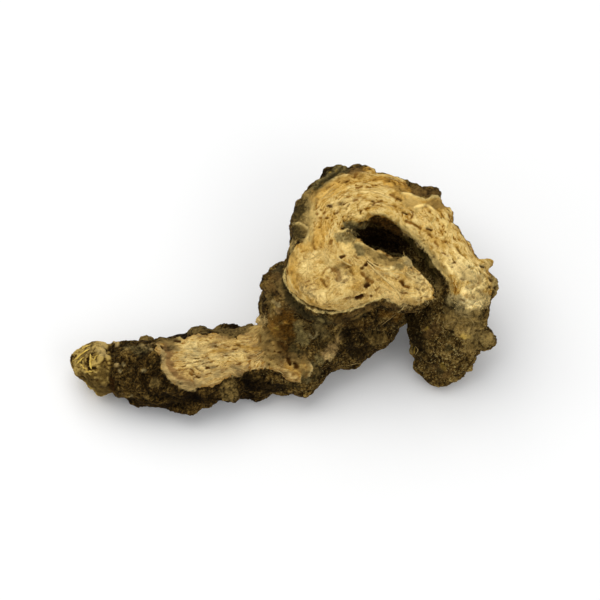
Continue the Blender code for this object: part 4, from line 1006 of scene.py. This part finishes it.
def bark_relief(points, run, leg):
    """The bark's broad crumple, and its knobs, slanting streaks, curled ridges and cracks."""
    streaks = layered(run, BARK_STREAKS) * (1 - 0.6 * leg)
    curls = 0.14 * lines_at(points, 0.55, 26, 0.05) * (0.1 + 0.9 * leg)
    cracks = 0.26 * lines_at(points, 0.34, 27, 0.06)
    fine = layered(points, BARK_KNOBS) + streaks + layered(points, BARK_GRIT) + curls - cracks
    return layered(points, BARK_CRUMPLE), fine


def bud_relief(points):
    """Matted straw of the bud, and lumps where it joins the arm."""
    base = ease(points[:, 0] - DRAWING[0], -40.6, -39.0)
    return (1 - base) * layered(points, BUD_STRAW) + base * 0.35 * cells_at(points, 0.55, 3)


def paint_marks(points, tree):
    """Colour, share and lift that the marks give every point, with wandering edges."""
    wide = noise_at(points, 0.55, 31)
    narrow = noise_at(points, 1.7, 32)
    tint = np.zeros((len(points), 3))
    share = np.zeros(len(points))
    lift = np.zeros(len(points))
    trace = np.full(len(points), TINY)
    for name, half, strength, rise, corners in MARKS:
        colour = np.array(MARK_COLOURS[name])
        reach = 2 * half + 0.6
        wander = min(half, 0.8) * (0.5 + 0.5 * min(half / 1.2, 1.0))
        for run in line_on(tree, corners):
            low = np.min(run, axis=0) - reach
            high = np.max(run, axis=0) + reach
            near = np.flatnonzero(np.all((points > low) & (points < high), axis=1))
            distance = line_distance(points[near], run) + 0.5 * half * wide[near] + wander * narrow[near]
            cover = strength * fade(distance, 0.6 * half, 1.2 * half + 0.12)
            tint[near] = tint[near] * (1 - cover[:, None]) + np.outer(cover + MARK_TRACE, colour)
            share[near] = share[near] * (1 - cover) + cover
            trace[near] = trace[near] * (1 - cover) + cover + MARK_TRACE
            lift[near] += rise * cover
    return tint / trace[:, None], share, lift


# The skin
JOIN_DISTANCE = 1e-6
# The relief presses no point lower than this over the floor, unless the solid has it lower.
FLOOR_GAP = 0.02


def build_skin(node):
    """Remeshes a copy of the solid finely, with what shows in the view finer still."""
    solid = bmesh.new()
    solid.from_mesh(node.data)
    bmesh.ops.remove_doubles(solid, verts=solid.verts, dist=JOIN_DISTANCE)
    mesh = bpy.data.meshes.new("rhizome_skin")
    solid.to_mesh(mesh)
    solid.free()
    skin = add_object("rhizome_skin", mesh)
    fuse = skin.modifiers.new("fuse", "REMESH")
    fuse.mode = "VOXEL"
    fuse.voxel_size = SKIN_VOXEL * MM
    soften = skin.modifiers.new("soften", "SMOOTH")
    soften.factor = 0.5
    soften.iterations = SKIN_SMOOTHING
    skin.data = finished_mesh(skin)
    skin.modifiers.clear()
    shown = in_view(tree_of(skin.data), mesh_points(skin.data), mesh_normals(skin.data))
    fine = bmesh.new()
    fine.from_mesh(skin.data)
    fine.verts.ensure_lookup_table()
    edges = [edge for edge in fine.edges if shown[edge.verts[0].index] and shown[edge.verts[1].index]]
    bmesh.ops.subdivide_edges(fine, edges=edges, cuts=1, use_grid_fill=True, smooth=0.0)
    fine.to_mesh(skin.data)
    fine.free()
    return skin


def nudge_outline(mesh):
    """Moves the points in the plane of the view where the outline asks for it."""
    points = mesh_points(mesh)
    flat = seen(points)
    standing = off_floor(points)[:, None]
    moved = points.copy()
    for across, up, reach, right, rise in NUDGES:
        away = np.linalg.norm(flat - np.array([across, up]), axis=1) / reach
        moved += np.exp(-away ** 2)[:, None] * standing * (np.array([right, 0, 0]) + VIEW_UP * rise)
    move_points(mesh, moved)


def crest_and_trough_shade(values, where):
    """Painted light and shade: spreads the relief around 0.5, so that crests are painted light and troughs
    dark.
    """
    middle = values[where].mean()
    spread = values[where].std()
    return np.clip(0.5 + (values - middle) / (4 * spread), 0, 1)


def shape_skin(skin):
    """Raises the relief, stores what the material needs and gives the new surface's search tree."""
    mesh = skin.data
    points = mesh_points(mesh)
    normals = mesh_normals(mesh)
    flat = seen(points)
    hook, arm, depth = face_shares(points, normals)
    cut = np.maximum(hook, arm)
    lobe = lobe_share(points) * hook
    end = limb_end(flat)
    leg = leg_share(points)
    bud = bud_share(points)
    grain = frayed(grain_of(points)[0], points, end)
    rings = lobe_run(points, flat)
    streaks = bark_run(points)

    tip = lobe_tip(points, flat)
    swell, flesh, pits = slice_relief(points, grain, rings, lobe, arm, tip, np.maximum(depth, 0))
    pits = pits * (1 - 0.6 * end)
    rim_distance = line_distance(flat, HOLLOW_RIM) + 0.3 * noise_at(points, 0.8, 33)
    smooth = fade(rim_distance, 0.7, 1.3) * hook
    flesh = flesh * (1 - 0.6 * smooth) * (1 - 0.35 * end)
    crumple, bark = bark_relief(points, streaks, leg)
    bark = bark * (1 - bud) + bud * bud_relief(points)
    tint, share, lift = paint_marks(points, tree_of(mesh))

    broad = cut * swell + (1 - cut) * crumple * (1 - bud)
    fine = cut * flesh + (1 - cut) * bark
    moved = points + normals * ((broad + fine + lift) * off_floor(points))[:, None]
    moved[:, 2] = np.maximum(moved[:, 2], np.minimum(points[:, 2], FLOOR_GAP))
    move_points(mesh, moved)
    shade_smooth(mesh)

    # Painted light and shade for the material: crests of the relief are stored light, troughs dark.
    tone = cut * crest_and_trough_shade(flesh, cut > 0.5) + (1 - cut) * crest_and_trough_shade(bark + 0.5 * crumple, cut < 0.5)
    rim = np.exp(-((depth - 0.1) / 0.45) ** 2) * ease(noise_at(points, 0.5, 35), -0.3, 0.2)
    # Painted shade: the hollow under the arch, below its rim, is darkened where shade falls in it.
    hollow_painted_shade = ease(inside_by(flat, HOLLOW), -0.3, 0.6) * fade(points[:, 2], 17.0, 23.0) * (1 - hook)
    store_vector(mesh, "grain", grain)
    store_vector(mesh, "lobe_run", rings)
    store_vector(mesh, "bark_run", streaks)
    store(mesh, "form", (cut, tone, lobe))
    store(mesh, "band", (rim, pits * cut, hollow_painted_shade))
    store(mesh, "zone", (bark_wear(points, leg), bud, arm))
    store(mesh, "mark", tint.T, share)
    return tree_of(mesh)


# Materials
class Nodes:
    """A short way to write a material's nodes."""

    def __init__(self, name):
        self.material = bpy.data.materials.new(name)
        self.material.use_nodes = True
        self.tree = self.material.node_tree
        self.shader = self.tree.nodes["Principled BSDF"]

    def put(self, value, socket):
        """Links another node's output to the socket, or sets the socket's own value."""
        if isinstance(value, bpy.types.NodeSocket):
            self.tree.links.new(value, socket)
        elif socket.type == "RGBA":
            socket.default_value = (*value, 1)
        else:
            socket.default_value = value

    def add(self, kind, inputs, **settings):
        """A new node with these inputs and settings."""
        made = self.tree.nodes.new(kind)
        for key, value in settings.items():
            setattr(made, key, value)
        for key, value in inputs.items():
            self.put(value, made.inputs[key])
        return made

    def place(self):
        """Where the point lies on the object."""
        return self.add("ShaderNodeTexCoord", {}).outputs["Object"]

    def attribute(self, name):
        """What the mesh keeps under this name."""
        return self.add("ShaderNodeAttribute", {}, attribute_name=name)

    def split(self, name):
        """The three numbers that the mesh keeps under this name."""
        parts = self.add("ShaderNodeSeparateColor", {"Color": self.attribute(name).outputs["Color"]})
        return [parts.outputs[channel] for channel in ("Red", "Green", "Blue")]

    def noise(self, vector, scale, detail=3.0, roughness=0.55, distortion=0.0):
        """Noise over the object."""
        made = self.add("ShaderNodeTexNoise", {
            "Vector": vector, "Scale": scale, "Detail": detail, "Roughness": roughness,
            "Distortion": distortion,
        })
        return made.outputs["Fac"]

    def run_noise(self, run, stretch, detail=3.0, roughness=0.55, distortion=0.0):
        """Noise stretched along a run of fibres or streaks."""
        vector = self.add("ShaderNodeMapping", {"Vector": run, "Scale": stretch}).outputs["Vector"]
        return self.noise(vector, 1.0, detail, roughness, distortion)

    def math(self, operation, first, second=0.0, clamp=False):
        """One sum, product or the like."""
        made = self.add("ShaderNodeMath", {0: first, 1: second}, operation=operation, use_clamp=clamp)
        return made.outputs["Value"]

    def times(self, first, second):
        """The product of two values."""
        return self.math("MULTIPLY", first, second)

    def between(self, value, none, full):
        """Goes smoothly from 0 at none to 1 at full, up or down."""
        made = self.add("ShaderNodeMapRange", {"Value": value, "From Min": none, "From Max": full},
                        interpolation_type="SMOOTHSTEP")
        return made.outputs["Result"]

    def tone(self, parts):
        """0.5 and what each value adds around its own middle, by its weight."""
        total = 0.5 - 0.5 * sum(weight for _, weight in parts)
        for value, weight in parts:
            total = self.math("ADD", self.times(value, weight), total)
        return total

    def ramp(self, value, stops):
        """Colours along a scale."""
        made = self.add("ShaderNodeValToRGB", {"Fac": value})
        elements = made.color_ramp.elements
        while len(elements) < len(stops):
            elements.new(0.5)
        for element, (place, colour) in zip(elements, stops):
            element.position = place
            element.color = (*colour, 1)
        return made.outputs["Color"]

    def mix(self, share, first, second, blend="MIX"):
        """The first colour with this share of the second in it."""
        made = self.add("ShaderNodeMix", {}, data_type="RGBA", blend_type=blend)
        self.put(share, made.inputs[0])
        self.put(first, made.inputs[6])
        self.put(second, made.inputs[7])
        return made.outputs[2]

    def power(self, colour, share):
        """The colour raised to a power, which thins it as a film towards clear."""
        return self.add("ShaderNodeGamma", {"Color": colour, "Gamma": share}).outputs["Color"]

    def stain_and_shade(self, share, colour, stain_and_shade):
        """Darkens the colour as a stain does in the pits and as painted shade does in the creases, growing
        richer as it grows darker.
        """
        return self.mix(1.0, colour, self.power(stain_and_shade, share), "MULTIPLY")

    def creases(self, run, stretch, width):
        """1 along thin wandering creases."""
        waves = self.run_noise(run, stretch, 2.5, 0.55, 0.6)
        gap = self.math("ABSOLUTE", self.math("SUBTRACT", waves, 0.5))
        return self.math("SUBTRACT", 1.0, self.between(gap, 0.0, width))

    def bump(self, height, strength, distance):
        """Fine relief, its distance in millimetres."""
        inputs = {"Height": height, "Strength": strength, "Distance": distance * MM}
        return self.add("ShaderNodeBump", inputs).outputs["Normal"]

    def finish(self, colour, roughness, normal, specular=0.2):
        """The material, with its shader set."""
        self.put(colour, self.shader.inputs["Base Color"])
        self.put(normal, self.shader.inputs["Normal"])
        self.put(roughness, self.shader.inputs["Roughness"])
        self.put(specular, self.shader.inputs["Specular IOR Level"])
        return self.material


PALE_FIBRE = (0.93, 0.73, 0.32)
OCHRE = (0.31, 0.145, 0.017)
# Colour of the painted shade in the creases and between the arm's fibres.
CREASE_SHADE_COLOUR = (0.36, 0.20, 0.06)
PIT_STAIN = (0.22, 0.10, 0.025)
ARM_CREAM = (0.73, 0.58, 0.26)
LOBE_CREAM = (0.80, 0.61, 0.24)
CORTEX = (0.24, 0.125, 0.030)
# Colour of the painted shade in the hollow under the arch.
HOLLOW_PAINTED_SHADE = (0.014, 0.006, 0.0018)
BARK_DARK = (0.009, 0.0045, 0.0009)
BARK_PALE = (0.40, 0.262, 0.072)
BARK_GLINT_FLECK = (0.56, 0.42, 0.15)
# Colours from dark to light, each with its place on a scale of 0 to 1.
FLESH_TONES = [
    (0.10, (0.12, 0.052, 0.008)), (0.27, OCHRE), (0.42, (0.54, 0.295, 0.050)), (0.56, (0.76, 0.50, 0.135)),
    (0.82, (0.90, 0.68, 0.27)),
]
BARK_TONES = [
    (0.22, BARK_DARK), (0.44, (0.046, 0.0242, 0.0046)), (0.66, (0.146, 0.084, 0.0186)), (0.94, BARK_PALE),
]
BUD_TONES = [
    (0.26, (0.026, 0.013, 0.003)), (0.47, (0.14, 0.078, 0.016)), (0.69, (0.32, 0.203, 0.044)),
    (0.95, (0.62, 0.43, 0.12)),
]
# How much broad noise, blotches, fine noise and the relief's painted light and shade count in the flesh's
# tone.
FIBROUS_WEIGHTS = (0.74, 0.16, 0.36, 0.66)
CRUMBLY_WEIGHTS = (0.30, 0.58, 0.54, 0.66)


def flesh_colour(nodes, run, place, relief_light_and_shade, weights, lightness, streaked, crease_shade_share, crumbly):
    """Cream and tan fibres with ochre streaks, painted shade in their creases and painted light and shade
    from the relief, with their relief and tone.
    """
    broad = nodes.run_noise(run, (0.12, 0.38, 0.15), 3.0, 0.6, 0.3)
    blotches = nodes.noise(place, 420.0, 4.0, 0.65)
    fibres = nodes.between(nodes.run_noise(run, (1.0, 4.0, 0.8), 5.0, 0.75, 0.8), 0.28, 0.72)
    crumbs = nodes.between(nodes.noise(place, 2600.0, 5.0, 0.75, 0.8), 0.28, 0.72)
    fine = nodes.mix(crumbly, fibres, crumbs)
    tone = nodes.math("ADD", nodes.tone(list(zip((broad, blotches, fine, relief_light_and_shade), weights))), lightness)
    colour = nodes.ramp(tone, FLESH_TONES)
    streaks = nodes.between(nodes.run_noise(run, (0.16, 1.3, 0.3), 3.0, 0.6, 0.5), 0.55, 0.68)
    colour = nodes.mix(nodes.times(streaks, streaked), colour, OCHRE)
    threads = nodes.creases(run, (0.2, 1.5, 0.35), 0.022)
    colour = nodes.mix(nodes.times(threads, 0.45), colour, PALE_FIBRE)
    # Painted shade: thin dark creases along the fibres, which also sink a little in the fine relief.
    long_creases = nodes.creases(run, (0.4, 1.3, 0.5), 0.026)
    short_creases = nodes.creases(run, (1.1, 2.8, 0.8), 0.036)
    shaded_slits = nodes.math("MAXIMUM", long_creases, nodes.times(short_creases, 0.7))
    shaded_slits = nodes.times(shaded_slits, nodes.between(blotches, 0.65, 0.40))
    colour = nodes.stain_and_shade(nodes.times(shaded_slits, crease_shade_share), colour, CREASE_SHADE_COLOUR)
    fine = nodes.math("SUBTRACT", fine, nodes.times(shaded_slits, 0.7))
    return colour, fine, tone


def bark_colour(nodes, run, place, relief_light_and_shade, wear):
    """Dark olive bark in slanting streaks, painted lighter where it stands out and darker in its troughs as
    light and shade, paler where worn, with pale flecks, partly painted glints.
    """
    blotches = nodes.noise(place, 260.0, 4.0, 0.6)
    streaks = nodes.run_noise(run, (0.45, 2.2, 1.0), 4.0, 0.65, 0.4)
    grit = nodes.between(nodes.noise(place, 1900.0, 6.0, 0.8), 0.30, 0.70)
    tone = nodes.tone([(blotches, 0.68), (streaks, 0.45), (grit, 0.62), (relief_light_and_shade, 0.46), (wear, 0.55)])
    colour = nodes.ramp(tone, BARK_TONES)
    scratches = nodes.creases(run, (0.35, 1.5, 0.8), 0.02)
    scratches = nodes.times(scratches, nodes.between(blotches, 0.40, 0.62))
    colour = nodes.mix(nodes.times(scratches, 0.30), colour, BARK_PALE)
    pores = nodes.between(nodes.noise(place, 1500.0, 3.0, 0.6), 0.41, 0.33)
    colour = nodes.mix(nodes.times(pores, 0.7), colour, BARK_DARK)
    # Pale flecks where the bark is worn, partly grit and partly painted glints.
    glint_flecks = nodes.between(nodes.noise(place, 2400.0, 2.0, 0.5), 0.595, 0.65)
    glint_flecks = nodes.times(glint_flecks, nodes.between(wear, 0.15, 0.70))
    return nodes.mix(nodes.times(glint_flecks, 0.75), colour, BARK_GLINT_FLECK), grit, tone


def cut_flesh(nodes, place, relief_light_and_shade, lobe, arm, rim):
    """The cut faces: fibrous on the arch and the arm, ringed and crumbly on the lobe, rimmed by cortex."""
    grain = nodes.attribute("grain").outputs["Vector"]
    rings = nodes.attribute("lobe_run").outputs["Vector"]
    crease_shade_share = nodes.math("ADD", 0.72, nodes.times(arm, 0.28))
    fibrous, fibres, fibrous_tone = flesh_colour(
        nodes, grain, place, relief_light_and_shade, FIBROUS_WEIGHTS, lightness=-0.04, streaked=0.5, crease_shade_share=crease_shade_share,
        crumbly=0.35)
    fibrous = nodes.mix(nodes.times(arm, 0.28), fibrous, ARM_CREAM)
    # Painted shade in the gaps between the arm's fibres.
    shaded_gaps = nodes.between(nodes.run_noise(grain, (0.9, 3.6, 0.8), 4.0, 0.7, 0.5), 0.47, 0.36)
    fibrous = nodes.stain_and_shade(nodes.times(nodes.times(shaded_gaps, arm), 0.6), fibrous, CREASE_SHADE_COLOUR)
    crumbly, crumbs, crumbly_tone = flesh_colour(
        nodes, rings, place, relief_light_and_shade, CRUMBLY_WEIGHTS, lightness=0.12, streaked=0.35, crease_shade_share=0.7,
        crumbly=0.6)
    crumbly = nodes.mix(0.22, crumbly, LOBE_CREAM)
    flesh = nodes.mix(lobe, fibrous, crumbly)
    flesh = nodes.mix(nodes.times(rim, 0.6), flesh, nodes.mix(0.3, CORTEX, flesh))
    return flesh, nodes.mix(lobe, fibres, crumbs), nodes.mix(lobe, fibrous_tone, crumbly_tone)


def rhizome_material():
    """Cut flesh and bark in one material, told apart by the mesh, with the marks over both."""
    nodes = Nodes("rhizome_flesh_and_bark")
    place = nodes.place()
    run = nodes.attribute("bark_run").outputs["Vector"]
    cut, relief_light_and_shade, lobe = nodes.split("form")
    rim, pits, hollow_painted_shade = nodes.split("band")
    wear, bud, arm = nodes.split("zone")
    flesh, fine, flesh_tone = cut_flesh(nodes, place, relief_light_and_shade, lobe, arm, rim)
    bark, grit, bark_tone = bark_colour(nodes, run, place, relief_light_and_shade, wear)
    # The bud's colour follows its relief: painted light on the straws and painted shade between them.
    bark = nodes.mix(bud, bark, nodes.ramp(nodes.tone([(relief_light_and_shade, 1.15), (grit, 0.4)]), BUD_TONES))

    ragged = nodes.noise(place, 2200.0, 3.0, 0.6)
    share = nodes.between(nodes.tone([(ragged, 0.6), (cut, 1.0)]), 0.35, 0.65)
    colour = nodes.mix(share, bark, flesh)
    tone = nodes.mix(share, bark_tone, flesh_tone)

    # The marks keep the tone of what they lie on, painted light and shade of the relief included. Their
    # edges are mottled, and they soak into flesh.
    mark = nodes.attribute("mark")
    shade = nodes.math("ADD", nodes.times(tone, 1.7), 0.12)
    tinted = nodes.mix(1.0, mark.outputs["Color"], shade, "MULTIPLY")
    cover = mark.outputs["Alpha"]
    edge = nodes.times(nodes.times(cover, nodes.math("SUBTRACT", 1.0, cover)), 6.0)
    mottle = nodes.math("SUBTRACT", nodes.noise(place, 1300.0, 4.0, 0.65), 0.5)
    cover = nodes.math("ADD", cover, nodes.times(edge, mottle), clamp=True)
    bare = nodes.power(colour, nodes.math("SUBTRACT", 1.0, cover))
    soaked = nodes.mix(1.0, bare, nodes.power(tinted, cover), "MULTIPLY")
    soaked = nodes.stain_and_shade(nodes.between(pits, 0.25, 0.95), soaked, PIT_STAIN)
    colour = nodes.mix(share, nodes.mix(cover, colour, tinted), soaked)

    # Painted shade: the hollow's bottom and walls are painted nearly black.
    colour = nodes.mix(nodes.times(hollow_painted_shade, 0.78), colour, HOLLOW_PAINTED_SHADE)
    normal = nodes.bump(nodes.mix(share, nodes.times(grit, 1.4), fine), 0.7, 0.22)
    return nodes.finish(colour, 0.88, normal, 0.04)


def plain_material(name, colour, shade, scale, roughness):
    """Two close colours in soft blotches, with a fine grain."""
    nodes = Nodes(name)
    place = nodes.place()
    blotches = nodes.noise(place, scale, 4.0, 0.6)
    tint = nodes.mix(nodes.between(blotches, 0.35, 0.65), colour, shade)
    normal = nodes.bump(nodes.noise(place, scale * 6, 3.0, 0.6), 0.2, 0.1)
    return nodes.finish(tint, roughness, normal)


# Strands
STRAW_STEPS = 8
FIBRE_COUNT = 500
FIBRE_STEP = 0.36
FIBRE_CLEARANCE = 0.02
# Where marks cover this much, or the cut face's share is less than that, no loose fibre lies.
MOST_MARKED = 0.45
LEAST_CUT = 0.9


def make_strands(name, runs, material):
    """Thin round strands, each a run of places and a thickness, with tapered ends."""
    curve = bpy.data.curves.new(name, "CURVE")
    curve.dimensions = "3D"
    curve.bevel_depth = MM
    curve.bevel_resolution = 0
    curve.use_fill_caps = True
    for run, thickness in runs:
        spline = curve.splines.new("POLY")
        spline.points.add(len(run) - 1)
        for index, (point, place) in enumerate(zip(spline.points, run)):
            share = index / (len(run) - 1)
            point.co = (*(np.array(place) * MM), 1)
            point.radius = thickness * (1 - 0.75 * abs(2 * share - 1) ** 3)
    holder = add_object(name + "_curve", curve)
    mesh = finished_mesh(holder)
    bpy.data.objects.remove(holder)
    strands = add_object(name, mesh)
    shade_smooth(mesh)
    mesh.materials.clear()
    mesh.materials.append(material)
    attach(strands, "root")


def bud_straws(tree):
    """Straws that lie across the bud, arched a little off it."""
    draw = random.Random(3)
    runs = []
    for x0, y0, x1, y1, thickness in STRAWS:
        run = []
        for step in range(STRAW_STEPS + 1):
            share = step / STRAW_STEPS
            sway = 0.12 * math.sin(share * 5 + draw.random())
            place, normal = found_on(tree, x0 + (x1 - x0) * share + sway, y0 + (y1 - y0) * share)
            if place is not None:
                run.append(place + normal * (0.05 + 0.20 * math.sin(share * math.pi)))
        if len(run) > STRAW_STEPS / 2:
            runs.append((run, thickness))
    return runs


def face_fibres(mesh, tree):
    """Short loose fibres that lie along the grain of the cut faces, off the marks."""
    draw = random.Random(11)
    points = mesh_points(mesh)
    shares = stored(mesh, "form")[:, 0] * (stored(mesh, "mark")[:, 3] < MOST_MARKED)
    finder = KDTree(len(points))
    for index, point in enumerate(points.tolist()):
        finder.insert(point, index)
    finder.balance()
    cut = np.flatnonzero(shares > 0.6)
    starts = points[[int(cut[draw.randrange(len(cut))]) for _ in range(FIBRE_COUNT)]]
    _, headings = grain_of(starts)
    runs = []
    for start, heading in zip(starts, headings):
        angle = math.atan2(heading[1], heading[0]) + draw.gauss(0, 0.22)
        bend = draw.gauss(0, 0.10)
        place = Vector(start)
        run = []
        for _ in range(draw.randrange(4, 9)):
            surface, normal, _, _ = tree.find_nearest(place)
            if shares[finder.find(surface)[1]] < LEAST_CUT:
                break
            run.append(surface + normal * FIBRE_CLEARANCE)
            angle += bend + draw.gauss(0, 0.08)
            place = surface + FIBRE_STEP * Vector((math.cos(angle), math.sin(angle), 0))
        if len(run) > 3:
            runs.append((run, draw.uniform(0.035, 0.065)))
    return runs


def drawn_fibres(tree, table):
    """Fibres along the lines of a table, wavering just over the surface."""
    runs = []
    for half, corners in table:
        for places in line_on(tree, corners, 6):
            run = []
            for step, place in enumerate(places):
                rise = FIBRE_CLEARANCE + 0.08 * math.sin(step * 1.3)
                run.append(Vector(place) + Vector(TOWARDS_VIEW) * rise)
            if len(run) > 3:
                runs.append((run, half))
    return runs


def strewn(draw, spread):
    """A random step in any direction."""
    return Vector([draw.gauss(0, spread) for _ in range(3)])


def tufts(tree):
    """Short hairs that stand off torn edges."""
    draw = random.Random(17)
    runs = []
    for count, corners in TUFTS:
        spots = [place for run in line_on(tree, corners, 8) for place in run]
        for _ in range(count):
            place = Vector(spots[draw.randrange(len(spots))]) + strewn(draw, 0.45)
            surface, normal, _, _ = tree.find_nearest(place)
            heading = (normal + strewn(draw, 0.7)).normalized()
            bend = strewn(draw, 0.35)
            length = draw.uniform(0.25, 0.7)
            root = surface - normal * 0.05
            run = [root + heading * length * t + bend * length * t * t for t in (0, 0.35, 0.7, 1)]
            runs.append((run, draw.uniform(0.03, 0.06)))
    return runs


# The studio, in metres: name, place, width, power and colour of each light
LIGHTS = [
    ("key", (-0.14, 0.14, 0.50), 0.60, 2.0, (1.0, 0.985, 0.96)),
    ("fill", (0.35, -0.45, 0.45), 0.5, 0.9, (1.0, 0.99, 0.97)),
]
LIT_PLACE = Vector((0, 0, 0.012))
FLOOR_SIZE = 2.0
FLOOR_PALE = (0.92, 0.92, 0.915)
FLOOR_PALER = (0.94, 0.94, 0.935)
SKY = (0.95, 0.97, 1.0)
SKY_STRENGTH = 0.60


def make_floor():
    """A wide pale sheet under the piece."""
    shape = bmesh.new()
    bmesh.ops.create_grid(shape, x_segments=2, y_segments=2, size=FLOOR_SIZE)
    mesh = bpy.data.meshes.new("floor")
    shape.to_mesh(mesh)
    shape.free()
    mesh.materials.append(plain_material("pale_floor", FLOOR_PALE, FLOOR_PALER, 4.0, 0.9))
    return add_object("floor", mesh)


def add_light(name, place, size, energy, colour):
    """A soft square light that faces the middle of the piece."""
    data = bpy.data.lights.new(name, "AREA")
    data.size = size
    data.energy = energy
    data.color = colour
    lamp = add_object(name, data)
    lamp.location = place
    lamp.rotation_euler = (LIT_PLACE - Vector(place)).to_track_quat("-Z", "Y").to_euler()


def make_studio():
    """Camera, lights and sky."""
    data = bpy.data.cameras.new("camera")
    data.sensor_width = SENSOR
    data.lens = SENSOR * VIEW_DISTANCE / VIEW_WIDTH
    data.clip_end = 10
    camera = add_object("camera", data)
    camera.location = Vector(VIEW_PLACE * MM)
    camera.rotation_euler = Vector(-TOWARDS_VIEW).to_track_quat("-Z", "Y").to_euler()
    bpy.context.scene.camera = camera
    for light in LIGHTS:
        add_light(*light)
    world = bpy.data.worlds.new("studio")
    world.use_nodes = True
    sky = world.node_tree.nodes["Background"]
    sky.inputs["Color"].default_value = (*SKY, 1)
    sky.inputs["Strength"].default_value = SKY_STRENGTH
    bpy.context.scene.world = world
    bpy.context.scene.view_settings.view_transform = "Standard"


# The scene
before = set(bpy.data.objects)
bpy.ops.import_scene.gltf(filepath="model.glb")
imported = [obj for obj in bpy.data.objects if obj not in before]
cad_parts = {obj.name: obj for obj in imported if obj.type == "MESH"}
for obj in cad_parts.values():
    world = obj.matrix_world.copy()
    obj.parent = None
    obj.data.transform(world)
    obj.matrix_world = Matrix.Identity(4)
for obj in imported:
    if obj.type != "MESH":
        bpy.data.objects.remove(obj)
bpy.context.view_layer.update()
make_studio()
make_floor()

skin = build_skin(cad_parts["rhizome"])
nudge_outline(skin.data)
surface = shape_skin(skin)
skin.data.materials.clear()
skin.data.materials.append(rhizome_material())
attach(skin, "root")
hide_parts("rhizome")

straw = plain_material("dry_yellow_straw", (0.80, 0.57, 0.11), (0.50, 0.32, 0.05), 900.0, 0.6)
fibre = plain_material("cream_fibre", (0.72, 0.54, 0.20), (0.52, 0.35, 0.11), 500.0, 0.8)
thin_edge = plain_material("tan_edge", (0.42, 0.30, 0.10), (0.25, 0.16, 0.05), 700.0, 0.8)
loose = face_fibres(skin.data, surface) + drawn_fibres(surface, LOOSE_FIBRES) + tufts(surface)
make_strands("bud_straws", bud_straws(surface), straw)
make_strands("loose_fibres", loose, fibre)
make_strands("thin_edges", drawn_fibres(surface, THIN_EDGES), thin_edge)
